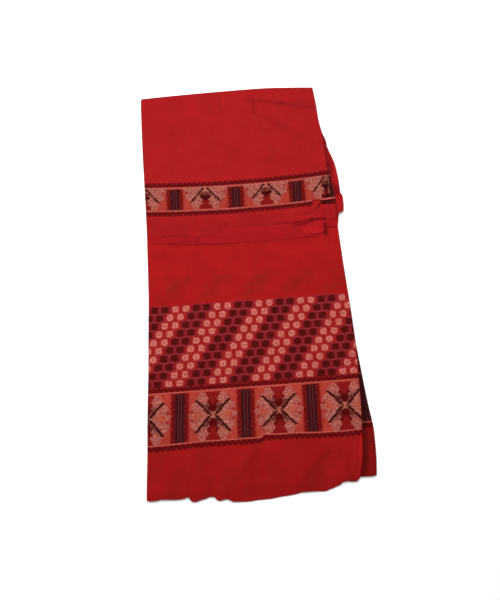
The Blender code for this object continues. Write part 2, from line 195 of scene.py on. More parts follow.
FRONT_HEM = Table(
    "x y",
    (-190, -354.5), (-182, -356.8), (-172, -356.6), (-166, -355.4), (-140, -356.8),
    (-133, -356.6), (-127.5, -355.8), (-124.5, -354.1), (-121, -354.1), (-118.5, -358.4),
    (-115.5, -361.7), (-109, -362.1), (-105, -360.8), (-96, -358.7), (-91.5, -357.8),
    (-89.5, -356), (-79.5, -356.3), (-77, -360.4), (-71, -363), (-64, -361.6), (-60, -361),
    (-54.5, -362.8), (-51.5, -365.6), (-35, -366.7), (-25, -366.9), (-12, -365.8), (8, -365),
    (28, -362.8), (40, -361.8), (52, -360.2), (62, -358.2), (80, -358), (100, -358.8),
    (106, -356.6), (112, -355), (118, -352.5), (124, -350.6), (129, -346.6), (134, -345.8),
    (150, -347), (155, -343.6), (160, -340), (170, -337),
)
UNDER_HEM = Table(
    "x y",
    (-187, -350), (-60, -346.3), (155, -340), (174, -340.5), (190, -338.5),
)
WAIST_EDGE = Table(
    "x top_y under_y",
    (-180, 92.5, 79), (-147, 89.5, 77.2), (-100, 86.8, 74.5), (-72, 85.2, 72.7),
    (-48, 91.2, 71.6), (-26, 98.2, 71.3), (20, 100, 71.3), (62, 100.2, 71.6), (92, 100.6, 73.6),
    (110, 101.6, 75.9), (128, 103, 79), (138.5, 104, 80.6), (143.5, 104.4, 90.6), (166, 106, 90),
    (180, 106.5, 90),
)
TOP_FOLD = Table(
    "x y",
    (-180, 364.2), (-125, 367.2), (-17, 371.2), (50, 372.6), (100, 370.8), (145, 368.2),
)
FOOT_DRIFT = Table(
    "x y",
    (-170, -4.5), (-130, -3.6), (-100, -2.4), (-50, -2.8), (2, -3), (6, 1.8), (30, 0.4),
    (60, 0.2), (90, -1.8), (140, -2.8), (170, -1.5),
)
# Creases of the body. The shade column is painted shade in troughs, in the slit and under the turned-over
# end's waist edge, and below 0 painted highlight on ridges, on the right fold edge and along the waist
# edge's line.
BODY_CREASES = CreaseField(
    (10, -285, -62, -372, 1.6, 14),
    (132, -290, 66, -366, 1.7, 15),
    (-116, -325, -110, -366, 1.1, 13),
    (-130, 20, -152, -20, 0.7, 16),
    (-45, 26, -66, -12, 0.6, 16),
    (90, 34, 64, -10, 0.8, 16),
    (150, -60, 158, -210, 0.9, 13),
    (-10, -296, -52, -345, -0.4, 7, 0.12),
    (104, -302, 64, -342, -0.4, 6, 0.1),
    (-85, -330, -92, -362, -0.4, 6, 0.1),
    (30, -318, 12, -362, 0.5, 8),
    (-28, -288, -72, -350, 0, 13, -0.07),
    (-4, -290, -22, -350, 0, 12, 0.08),
    (112, -300, 66, -354, 0, 14, 0.11),
    (146, -282, 112, -330, 0, 12, -0.08),
    (-175, -290, -176, -350, 0, 9, -0.05),
    (-140, -300, -143, -352, 0, 12, 0.05),
    (164, -285, 158.5, -335, 0, 3.4, -0.24),
    (-160, -300, -154, -350, 0.5, 8),
    (138, -318, 142, -340, -0.3, 6, 0.1),
    (-138, 72.8, -54, 69.8, 0, 2.2, 0.34, 4),
    (-54, 71.2, -27, 70.4, 0, 1.7, 0.3, 3),
    (-52, 67.2, -28, 66.2, 0, 1.2, 0.16, 3),
    (0, 70, 94, 70.5, 0, 6, 0.1),
    (104, 71.5, 128, 75, 0, 1.8, 0.34, 4),
    (139.8, 76, 140.2, 92, 0, 4.4, 0.66, 4),
    (-176, 78, -143, 76.5, 0, 1.3, -0.2, 3),
    (-20, 70.6, 90, 72.2, 0, 1.2, -0.16, 3),
    (145, 90.5, 158, 90, 0, 1.6, 0.22, 3),
)
# Creases of the turned-over end. The shade column is painted shade in creases, in the pinched fold at the
# right and in the wrinkles by the waist edge, and below 0 painted highlight on ridges and along the waist
# edge.
FLAP_CREASES = CreaseField(
    (30, 344, 140, 325, 1.1, 12),
    (36, 312, 120, 288, 0.8, 14),
    (-29, 362, -31, 330, 0.7, 11),
    (22, 346.5, 81, 336, -0.4, 4.8, 0.18, 12),
    (81, 336, 139, 322, -0.4, 5.4, 0.2, 12),
    (28, 340, 29, 320, -0.3, 6, 0.16, 12),
    (40, 333, 62, 325, 0, 9, -0.07),
    (10, 368, 10, 352, 0, 3.6, -0.13, 8),
    (-34, 356, -33.5, 332, 0, 3.6, 0.12, 12),
    (-27.5, 358, -27.5, 346, 0, 2.6, -0.12, 8),
    (45, 310, 76, 292, 0, 7, 0.09),
    (76, 292, 106, 272, 0, 10, 0.08),
    (-8, 246, -8, 237, 0, 7, 0.08, 8),
    (56, 252, 60, 240, 0, 9, 0.08, 10),
    (104, 264, 109, 242, 0, 8, 0.05, 12),
    (-124, 345, -120, 335, 0, 9, 0.06, 12),
    (-83, 350, -80, 330, 0, 8, -0.05, 12),
    (144, 262, 148, 200, 1.2, 8),
    (120, 160, 134, 182, 1.2, 9),
    (-150, 112, -35, 108, 0.9, 11),
    (10, 122, 150, 118, 0.9, 10),
    (152.5, 262, 155, 212, -0.4, 5.5, 0.42),
    (155, 206, 155.5, 184, -0.5, 3.2, 0.42, 8),
    (147.5, 236, 149.2, 190, 0.8, 1.9, -0.16),
    (150.5, 146, 151, 184, 0, 6.6, 0.4, 6),
    (146, 168, 145.5, 154, -0.5, 3, 0.36, 6),
    (155.5, 165, 157.5, 153, -0.4, 4.6, 0.55, 6),
    (152.5, 174.5, 157, 175, 0, 1.6, 0.72, 2),
    (151.5, 168.7, 156.5, 169, 0, 1.5, 0.76, 2),
    (154.5, 184, 158, 184.5, 0, 1.6, 0.7, 2),
    (143, 145.2, 154.5, 148.6, -0.7, 3.4, 1, 3),
    (145, 141.4, 153.5, 141.4, 0.4, 1.3, -0.75, 3),
    (137.5, 137.6, 152, 137.4, -0.5, 2.6, 0.9, 3.5),
    (134.5, 133.5, 158, 132.8, -0.6, 2.6, 0.72, 4),
    (134.5, 129, 159, 129.2, 0.4, 1.1, -0.22, 4),
    (131, 127.5, 131.8, 130.5, -0.3, 2.4, 0.8, 3),
    (124.5, 126.2, 128.5, 126.2, 0, 1.4, 0.3, 3),
    (161.8, 131, 162.5, 100, -0.4, 2, 0.45, 6),
    (106, 113, 127, 123.5, 0, 2.6, 0.14, 6),
    (89, 101.2, 104.5, 102.2, 0, 1.8, 0.72, 3),
    (108, 103, 118, 104, 0, 1.6, 0.6, 3),
    (116, 105.6, 139, 105, -0.2, 2, 0.78, 3),
    (139.5, 98.5, 140, 108, 0, 1.6, 0.4, 3),
    (104, 108.5, 136, 109.2, 0.3, 1.4, -0.22, 6),
    (60, 103, 86, 103, 0, 2.2, 0.18, 6),
    (-146, 90.5, -105, 89.5, 0, 2.6, 0.2, 8),
    (-38.5, 108, -35, 99, 0, 4.6, 0.12, 6),
    (-47.5, 104, -46.2, 97, 0, 3, 0.12, 6),
    (-78, 96, -77, 88, 0, 3.4, 0.1, 6),
    (0, 101.5, 56, 101, 0, 3, 0.1, 10),
    (-165, 112, 30, 112, 0, 17, 0.05),
    (-176, 92.2, -151, 90, 0, 1.3, -0.2, 4),
    (-101, 86.8, -73, 85.3, 0, 1.2, -0.14, 4),
    (-70, 85.6, -48, 91.2, 0, 1.3, -0.24, 2),
    (-48, 91.2, -26, 98.2, 0, 1.3, -0.24, 2),
    (-24, 98.4, 40, 100, 0, 1.2, -0.16, 3),
)
# Creases of the turned-over end's second layer. The shade column is painted shadow beside the top layer's
# right edge and painted shade in the slit and wrinkles by the waist edge; below 0 it is painted highlight.
UNDER_FLAP_CREASES = CreaseField(
    (156, 268, 159.5, 240, 0, 6, 0.5, 10),
    (159, 222, 160.8, 186, 0, 3.6, 0.42, 10),
    (160, 151, 161.5, 170, 0, 4, 0.4, 6),
    (166.8, 151, 167.5, 164, 0, 7, 0.46, 6),
    (162.8, 131, 163.2, 102, 0, 1.8, 0.42, 6),
    (83, 96.5, 104, 97.2, 0, 1.8, 0.5, 3),
    (105, 98.5, 118, 100, 0, 1.4, 0.34, 3),
    (120, 98.8, 135, 99, 0, 1.4, -0.14, 3),
    (106, 86, 130, 88, 0, 7, -0.18, 12),
    (139.8, 78, 140.2, 96, 0, 4.4, 0.66, 4),
    (108, 81.5, 127, 90.5, 0.5, 1.6, -0.16, 4),
    (113, 78.5, 131, 86.5, 0.5, 1.4, -0.16, 4),
    (112, 87.5, 126, 94.5, 0.4, 1.4, -0.16, 4),
    (109, 84.5, 130, 91.5, -0.4, 1.2, 0.16, 4),
    (110, 79.5, 130, 89, -0.3, 1, 0.14, 4),
    (-138, 78.4, -125, 77.4, 0, 1.4, 0.28, 2),
    (-119, 80.5, -85, 76.8, 0, 1.6, 0.3, 3),
    (-88, 85, -86, 79, 0, 3.6, 0.2, 4),
    (-56, 92, -55, 88, 0, 2.8, 0.14, 4),
    (-64, 84, -50, 82, 0, 2.4, 0.12, 6),
    (105, 80, 126, 77.5, 0, 2, 0.2, 5),
)


@dataclass(frozen=True)
class FoldPlan:
    """Heights of the layers, from the floor up, and where they rise, cling and droop."""

    bottom: float = 0.00045
    body_plies: tuple[float, ...] = (0.00135, 0.00225, 0.00320)
    under: float = 0.00445
    front: float = 0.00590
    flap_base: float = 0.0073
    flap_plies: tuple[float, ...] = (0.00730, 0.00830, 0.00920, 0.01020)
    flap_under: float = 0.01125
    flap: float = 0.01270
    fold_radius: float = 0.0065
    panel_end: float = 0.0040
    waist_rise: float = 0.0330
    waist_foot: float = 0.0071
    waist_cling: float = 0.00052
    waist_corner: float = 0.02
    cling_from: Ramp = (-0.030, -0.010)
    cling_until: Ramp = (0.110, 0.095)
    edge_gap: float = 0.00044
    edge_thinner: Ramp = (0.010, 0.0)
    loose_gap: float = 0.0006
    loose_from: Ramp = (0.060, 0.085)
    loose_until: Ramp = (0.1405, 0.1465)
    loose_less: float = 0.7
    edge_ease: float = 0.025
    crease_fade: float = 0.018
    crease_least: float = 0.35
    hem_over: float = 0.003
    hem_droop: float = 0.0036
    droop_run: float = 0.024

    @property
    def fold_middle(self) -> float:
        """Height of the top fold's middle line."""
        return (self.bottom + self.flap) / 2

    def fold_start(self, x: Array) -> Array:
        """Return y where the top fold's half round begins."""
        return TOP_FOLD.at("y", x) - self.fold_radius

    def along_body(self, start: Array, x: Array, part: Array) -> Array:
        """Return y at a share of the way from a body layer's hem to where it ends."""
        return start + (self.fold_start(x) - self.panel_end - start) * part

    def top_edge_loose(self, x: Array) -> Array:
        """Return 0 where the top layer's waist edge clings and 1 where it is wrinkled."""
        return rise(x, *self.loose_from)

    def under_edge_clings(self, x: Array) -> Array:
        """Return 1 where the second layer's waist edge clings and 0 where it stands off."""
        return rise(x, *self.cling_from) * rise(x, *self.cling_until)

    def flap_under_height(self, x: Array, y: Array) -> Array:
        """Height of the flap's second layer, which slopes down to its waist edge.

        The slope runs straight up from the edge and rounds off into the level part, as
        the lower of the two lines with a soft corner.

        Args:
            x: places across.
            y: places along.

        Returns:
            The height of its middle face.
        """
        part = (y - WAIST_EDGE.at("under_y", x)) / self.waist_rise
        share = (part + 1 - np.sqrt((part - 1) ** 2 + self.waist_corner)) / 2
        foot = self.waist_foot - self.waist_cling * self.under_edge_clings(x)
        return foot + (self.flap_under - foot) * np.clip(share, 0.0, 1.0)

    def flap_height(self, x: Array, y: Array) -> Array:
        """Height of the flap's top layer, resting on the second one at its waist edge.

        Args:
            x: places across.
            y: places along.

        Returns:
            The height of its middle face, creases included.
        """
        inside = rise(y - WAIST_EDGE.at("top_y", x), 0.0, self.edge_ease)
        full = self.flap - self.flap_under
        stands_off = self.top_edge_loose(x) * (1 - self.loose_less * rise(x, *self.loose_until))
        edge_gap = self.edge_gap + self.loose_gap * stands_off
        gap = edge_gap + (full - edge_gap) * inside
        fade = rise(self.fold_start(x) - y, 0.0, self.crease_fade)
        lift = FLAP_CREASES.lift(x, y) * fade
        lift = lift * (self.crease_least + (1 - self.crease_least) * inside)
        return self.flap_under_height(x, y) + gap + lift

    def front_height(self, x: Array, y: Array) -> Array:
        """Height of the front, which droops where its hem hangs over the layers below.

        Args:
            x: places across.
            y: places along.

        Returns:
            The height of its middle face, creases included.
        """
        covered = rise(WAIST_EDGE.at("under_y", x) - y, 0.0, self.crease_fade)
        droop = rise(UNDER_HEM.at("y", x) + self.hem_over - y, 0.0, self.droop_run)
        return self.front - self.hem_droop * droop + BODY_CREASES.lift(x, y) * covered


class EdgeRoll(NamedTuple):
    """How a sheet's side edge turns down and under, and the flat lip that follows."""

    radius: float = 0.0
    turn: float | Array = 0.0
    steps: int = 0
    lip: float = 0.0
    lip_steps: int = 0

    def trace(self, turn: Array) -> tuple[Array, Array, Array]:
        """Trace the turn: an arc of the roll's radius, then a straight lip.

        Args:
            turn: the full turn in each row, as a column.

        Returns:
            The reach outwards, the drop, and the length of cloth from the flat part.
        """
        angle = turn * steps(self.steps)
        lip = steps(self.lip_steps, 0.0, self.lip)
        reach, drop = self.radius * np.sin(angle), self.radius * (1 - np.cos(angle))
        length = self.radius * angle
        if self.lip_steps:
            reach = np.concatenate([reach, reach[:, -1:] + np.cos(turn) * lip], axis=1)
            drop = np.concatenate([drop, drop[:, -1:] + np.sin(turn) * lip], axis=1)
            length = np.concatenate([length, length[:, -1:] + lip], axis=1)
        return reach, drop, length


class Across(NamedTuple):
    """Places across a sheet, row by row: x, the drop below its face, and x in the cloth."""

    x: Array
    drop: Array
    cloth_x: Array


class Spacing(NamedTuple):
    """A number of places from 0 to 1 that stand some times closer together in one stretch."""

    count: int
    start: float
    end: float
    times: float
    ease: float = 0.03
    fineness: int = 4001

    def places(self) -> Array:
        """Work out the places.

        They are even steps of the running sum of a weight, which is 1 outside the stretch
        and rises softly to its own value inside it.

        Returns:
            The places.
        """
        fine = np.linspace(0.0, 1.0, self.fineness)
        inside = rise(fine, self.start - self.ease, self.start) * rise(fine, self.end + self.ease, self.end)
        weight = 1 + (self.times - 1) * inside
        total = np.concatenate([[0.0], np.cumsum((weight[1:] + weight[:-1]) / 2)])
        return np.interp(np.linspace(0.0, 1.0, self.count), total / total[-1], fine)


def lay_across(edges: tuple[Array, Array], rolls: tuple[EdgeRoll, EdgeRoll], spread: Array) -> Across:
    """Lay one row of points across a sheet for each pair of edges.

    Args:
        edges: x of the left and of the right edge in each row, as columns.
        rolls: the two edges' turns.
        spread: places across the flat part, from 0 at its left to 1 at its right.

    Returns:
        The places across.
    """
    flats, traces = [], []
    for edge, roll, out in zip(edges, rolls, (-1, 1)):
        turn = np.ones_like(edge) * roll.turn
        flats.append(edge - out * roll.radius * np.sin(np.minimum(turn, math.pi / 2)))
        traces.append(roll.trace(turn))
    (left, right), (left_trace, right_trace) = flats, traces
    flat = left + (right - left) * spread
    x = [(left - left_trace[0])[:, ::-1], flat, right + right_trace[0]]
    drop = [left_trace[1][:, ::-1], np.zeros_like(flat), right_trace[1]]
    cloth = [(left - left_trace[2])[:, ::-1], flat, right + right_trace[2]]
    return Across(*(np.concatenate(parts, axis=1) for parts in (x, drop, cloth)))


def unit(vectors: Array) -> Array:
    """Return vectors scaled to a length of 1."""
    return vectors / np.maximum(np.linalg.norm(vectors, axis=-1, keepdims=True), 1e-12)


@dataclass
class ClothSheet:
    """A thin closed sheet around a grid of points, with its weave's coordinates."""

    middle: Array
    weave: Array
    thickness: float | Array
    # Painted shade of each point, which darkens its colour; below 0 a painted highlight.
    shade: float | Array = 0.0

    def rim(self) -> tuple[Array, Array]:
        """Walk round the grid's outline, counterclockwise seen from its face.

        Returns:
            The indices of the outline's points, and the unit direction out of the sheet
            at each.
        """
        rows, columns = self.middle.shape[:2]
        index = np.arange(rows * columns).reshape(rows, columns)
        ring = np.concatenate([index[0, :-1], index[:-1, -1], index[-1, :0:-1], index[:0:-1, 0]])
        along, across = (unit(np.gradient(self.middle, axis=axis)) for axis in (0, 1))
        out = np.zeros_like(self.middle)
        out[0] -= along[0]
        out[-1] += along[-1]
        out[:, 0] -= across[:, 0]
        out[:, -1] += across[:, -1]
        return ring, unit(out.reshape(-1, 3)[ring])

    def solid(self) -> tuple[Array, Array, Array, Array]:
        """Close the sheet: its face, its back and a rounded rim half a thickness out.

        Face and back lie half a thickness from the middle, along the unit cross product
        of the grid's two runs.

        Returns:
            Points, faces of four corners, weave coordinates and painted shade of each point.
        """
        shape = self.middle.shape[:2]
        half_thick = np.broadcast_to(self.thickness, shape)[..., None] / 2
        normal = np.cross(np.gradient(self.middle, axis=1), np.gradient(self.middle, axis=0))
        offset = unit(normal) * half_thick
        half = half_thick.size
        index = np.arange(half).reshape(shape)
        corners = [index[:-1, :-1], index[:-1, 1:], index[1:, 1:], index[1:, :-1]]
        face = np.stack(corners, axis=-1).reshape(-1, 4)
        ring, out = self.rim()
        bulge = self.middle.reshape(-1, 3)[ring] + out * half_thick.reshape(-1, 1)[ring]
        lip = 2 * half + np.arange(len(ring))
        after, lip_after = np.roll(ring, -1), np.roll(lip, -1)
        top = np.stack([ring, lip, lip_after, after], axis=-1)
        under = np.stack([lip, ring + half, after + half, lip_after], axis=-1)
        points = [(self.middle + offset).reshape(-1, 3), (self.middle - offset).reshape(-1, 3), bulge]
        weave = self.weave.reshape(-1, 2)
        shade = np.broadcast_to(self.shade, shape).reshape(-1)
        return (
            np.concatenate(points),
            np.concatenate([face, face[:, ::-1] + half, top, under]),
            np.concatenate([weave, weave, weave[ring]]),
            np.concatenate([shade, shade, shade[ring]]),
        )


def make_piece(name: str, *sheets: ClothSheet) -> bpy.types.Object:
    """Make one object of one or more closed sheets.

    Args:
        name: the object's name.
        sheets: the sheets that it holds.

    Returns:
        The object, smoothly shaded, at the origin.
    """
    points, faces, weaves, shades = zip(*(sheet.solid() for sheet in sheets))
    firsts = np.cumsum([0, *(len(point) for point in points[:-1])])
    point = np.concatenate(points)
    face = np.concatenate([face + first for face, first in zip(faces, firsts)])
    mesh = bpy.data.meshes.new(name)
    mesh.vertices.add(len(point))
    mesh.vertices.foreach_set("co", point.astype(np.float32).ravel())
    mesh.loops.add(face.size)
    mesh.loops.foreach_set("vertex_index", face.astype(np.int32).ravel())
    mesh.polygons.add(len(face))
    mesh.polygons.foreach_set("loop_start", np.arange(0, face.size, 4, dtype=np.int32))
    mesh.update(calc_edges=True)
    coordinates = mesh.uv_layers.new(name=WEAVE_MAP)
    weave_at = np.concatenate(weaves)[face.ravel()]
    coordinates.uv.foreach_set("vector", weave_at.astype(np.float32).ravel())
    # Each point's painted shade, which the material reads to darken or lighten the colour.
    painted_shade_layer = mesh.attributes.new(PAINTED_SHADE_MAP, "FLOAT", "POINT")
    painted_shade_layer.data.foreach_set("value", np.concatenate(shades).astype(np.float32))
    mesh.shade_smooth()
    mesh.validate()
    piece = bpy.data.objects.new(name, mesh)
    bpy.context.scene.collection.objects.link(piece)
    return piece


def operator(operation: str, turned: bool = False) -> Callable[..., "Value"]:
    """Make a method of Value that puts its number and others through one Math node.

    Args:
        operation: the node's operation.
        turned: True if the others come first, as in some reflected operators.

    Returns:
        The method.
    """

    def method(self: "Value", *others: "Term") -> "Value":
        """Return what the Math node gives."""
        return self.paint.math(operation, *((*others, self) if turned else (self, *others)))

    return method


class Value:
    """A number that varies over a surface: one socket of a material, with arithmetic.

    A comparison gives 1 where it holds and 0 elsewhere, & gives the lesser of two masks and
    | the greater, and cycle gives the remainder of a length, also below 0.
    """

    def __init__(self, paint: "Paint", socket: bpy.types.NodeSocket) -> None:
        """Wrap one socket of a material."""
        self.paint = paint
        self.socket = socket

    __add__ = __radd__ = operator("ADD")
    __mul__ = __rmul__ = operator("MULTIPLY")
    __sub__ = operator("SUBTRACT")
    __rsub__ = operator("SUBTRACT", turned=True)
    __truediv__ = operator("DIVIDE")
    __rtruediv__ = operator("DIVIDE", turned=True)
    __lt__ = operator("LESS_THAN")
    __gt__ = operator("GREATER_THAN")
    __and__ = at_most = operator("MINIMUM")
    __or__ = at_least = operator("MAXIMUM")
    absolute = operator("ABSOLUTE")
    floor = operator("FLOOR")
    nearest = operator("ROUND")
    cycle = operator("FLOORED_MODULO")
    sine = operator("SINE")

    def square(self) -> "Value":
        """Return the number times itself."""
        return self * self


Term = Union[Value, float]
Colour = Union[bpy.types.NodeSocket, Tint]


class Paint:
    """One material's nodes, drawn with expressions."""

    def __init__(self, name: str) -> None:
        """Start an empty material of a name."""
        self.material = bpy.data.materials.new(name)
        self.material.use_nodes = True
        self.tree = self.material.node_tree
        self.tree.nodes.clear()

    def node(
        self, kind: str, settings: dict[str, Any] | None = None, inputs: dict[Any, Any] | None = None
    ) -> bpy.types.Node:
        """Add one node.

        Args:
            kind: the node's type.
            settings: its properties, which are set first.
            inputs: numbers, colours, values or sockets, by the socket's name or number.

        Returns:
            The node.
        """
        made = self.tree.nodes.new(kind)
        for name, setting in (settings or {}).items():
            setattr(made, name, setting)
        for name, given in (inputs or {}).items():
            if isinstance(given, Value):
                given = given.socket
            if isinstance(given, bpy.types.NodeSocket):
                self.tree.links.new(given, made.inputs[name])
                continue
            wide = isinstance(given, tuple) and made.inputs[name].type == "RGBA"
            made.inputs[name].default_value = (*given, 1.0) if wide else given
        return made

    def value(self, kind: str, settings: dict[str, Any], inputs: dict[Any, Any]) -> Value:
        """Add one node and return its first result as a value."""
        return Value(self, self.node(kind, settings, inputs).outputs[0])

    def math(self, operation: str, *terms: Term) -> Value:
        """Return one Math node's result."""
        return self.value("ShaderNodeMath", {"operation": operation}, dict(enumerate(terms)))

    def ease(self, value: Term, start: float, end: float) -> Value:
        """Return a soft rise from 0 where the value is start to 1 where it is end."""
        inputs = {"Value": value, "From Min": start, "From Max": end}
        return self.value("ShaderNodeMapRange", {"interpolation_type": "SMOOTHSTEP"}, inputs)

    def mix(self, share: Term, first: Colour, second: Colour) -> bpy.types.NodeSocket:
        """Return the first colour where the share is 0 and the second where it is 1."""
        inputs = {0: share, 6: first, 7: second}
        return self.node("ShaderNodeMix", {"data_type": "RGBA"}, inputs).outputs[2]

    def dim(self, colour: Colour, amount: Term) -> bpy.types.NodeSocket:
        """Return a colour times a number."""
        inputs = {0: colour, "Scale": amount}
        return self.node("ShaderNodeVectorMath", {"operation": "SCALE"}, inputs).outputs[0]

    def join(self, x: Term, y: Term) -> bpy.types.NodeSocket:
        """Return two numbers as a place."""
        return self.node("ShaderNodeCombineXYZ", None, {0: x, 1: y}).outputs[0]

    def split(self, vector: bpy.types.NodeSocket) -> tuple[Value, Value]:
        """Return a place's first two numbers."""
        numbers = self.node("ShaderNodeSeparateXYZ", None, {0: vector}).outputs
        return Value(self, numbers[0]), Value(self, numbers[1])

    def weave(self) -> tuple[Value, Value]:
        """Return the cloth's own two coordinates, in millimetres."""
        u, v = self.split(self.node("ShaderNodeUVMap", {"uv_map": WEAVE_MAP}).outputs[0])
        return u / MM, v / MM

    def painted_fold_shade(self) -> Value:
        """Return the painted shade of folds and creases: how much it darkens the colour, and below 0 a
        painted highlight.
        """
        return Value(self, self.node("ShaderNodeAttribute", {"attribute_name": PAINTED_SHADE_MAP}).outputs[2])

    def cloudiness(self, x: Term, y: Term, detail: float = 2.0) -> Value:
        """Return soft noise from about 0 to 1 at a place, one patch to a unit."""
        inputs = {"Vector": self.join(x, y), "Scale": 1.0, "Detail": detail}
        return self.value("ShaderNodeTexNoise", {"noise_dimensions": "2D"}, inputs)

    def mottle(self, x: Term, y: Term) -> Value:
        """Return soft noise stretched to run from 0 to 1 at a place, one patch to a unit."""
        return self.ease(self.cloudiness(x, y, 1.0), 0.3, 0.7)

    def finish(
        self, colour: Colour, roughness: Term, height: Value, relief: float, settings: dict[str, Any]
    ) -> bpy.types.Material:
        """Close the material with its shader.

        Args:
            colour: the surface's colour.
            roughness: how dull it is.
            height: relief from 0 to 1.
            relief: how high a relief of 1 stands, in metres.
            settings: constants of the shader's own sockets.

        Returns:
            The material.
        """
        bump = self.node("ShaderNodeBump", None, {"Strength": 1.0, "Distance": relief, "Height": height})
        inputs = {"Base Color": colour, "Roughness": roughness, "Normal": bump.outputs[0], **settings}
        shader = self.node("ShaderNodeBsdfPrincipled", None, inputs)
        self.node("ShaderNodeOutputMaterial", None, {"Surface": shader.outputs[0]})
        return self.material


def seen(red: int, green: int, blue: int, light: float = 1.6) -> Tint:
    """Return a dye's linear colour from what shows, of 255 each, and the light there."""
    return tuple(((c / 255 + 0.055) / 1.055) ** 2.4 / light for c in (red, green, blue))


@dataclass(frozen=True)
class Dyes:
    """The colours of the yarns."""

    red: Tint = seen(172, 23, 24, 1.9)
    salmon: Tint = seen(178, 62, 52)
    brick: Tint = seen(146, 30, 28)
    pale: Tint = seen(200, 123, 108)
    rose: Tint = seen(148, 68, 58)
    orange: Tint = seen(190, 76, 46)
    maroon: Tint = seen(122, 13, 13)
    wine: Tint = seen(92, 5, 8)
    zigzag: Tint = seen(72, 1, 4)
    black: Tint = seen(34, 0, 2)
    plum: Tint = seen(68, 6, 12)
    mauve: Tint = seen(114, 46, 52)
    line: Tint = seen(200, 100, 90)
    flower_pale: Tint = seen(214, 112, 102, 1.75)
    flower_light: Tint = seen(240, 158, 138, 1.75)
    flower_rose: Tint = seen(164, 40, 40, 1.75)
    flower_dark: Tint = seen(46, 0, 0, 1.75)
    flower_brown: Tint = seen(94, 18, 9, 1.75)
    bright_ground: Tint = seen(173, 31, 30, 1.75)
    purple_ground: Tint = seen(126, 20, 34, 1.75)
    thin_line: Tint = seen(150, 58, 66, 1.75)
    show_through: Tint = seen(143, 29, 20, 1.85)

    def under(self, share: float) -> "Dyes":
        """Return the dyes as they are where the light is stronger, all darker by a share."""
        shades = (getattr(self, dye.name) for dye in fields(self))
        return Dyes(*(tuple(channel * share for channel in shade) for shade in shades))


@dataclass(frozen=True)
class CottonWeave:
    """Plain handloom cotton: thread relief, streaks along both yarns and faint clouds."""

    thread: float = 0.62
    float_width: float = 0.9
    streak_length: float = 46.0
    streak_width: float = 1.6
    cloud: float = 34.0
    gloss: float = 0.12
    roughness: float = 0.9
    float_smoothness: float = 0.08
    sheen: float = 0.10
    sheen_roughness: float = 0.5
    sheen_tint: Tint = (0.9, 0.25, 0.22)
    relief: float = 0.00009

    def tone(self, paint: Paint, u: Value, v: Value) -> Value:
        """Return how light the yarn is at a place, around 1.

        Clouds of a few centimetres, and thin streaks of noise drawn out along the warp
        and along the weft.

        Args:
            paint: the material.
            u: place across the cloth, in millimetres.
            v: place along it.

        Returns:
            The tone.
        """
        clouds = paint.cloudiness(u / self.cloud, v / self.cloud, 3.0)
        warp = paint.cloudiness(u / self.streak_width, v / self.streak_length)
        weft = paint.cloudiness(u / self.streak_length, v / self.streak_width)
        return 0.72 + clouds * 0.26 + warp * 0.16 + weft * 0.14

    def threads(self, u: Value, v: Value) -> Value:
        """Return the relief of a plain weave: the product of two sines, one per yarn."""
        step = math.pi / self.thread
        return (u * step).sine() * (v * step).sine() * 0.5 + 0.5

    def floats(self, v: Value) -> Value:
        """Return the relief of a pattern's long stitches: the size of a sine, row by row."""
        return (v * (math.pi / self.float_width)).sine().absolute()


class Drawn(NamedTuple):
    """A pattern's result: the colour so far and how far its floats stand proud."""

    colour: Colour
    relief: Value


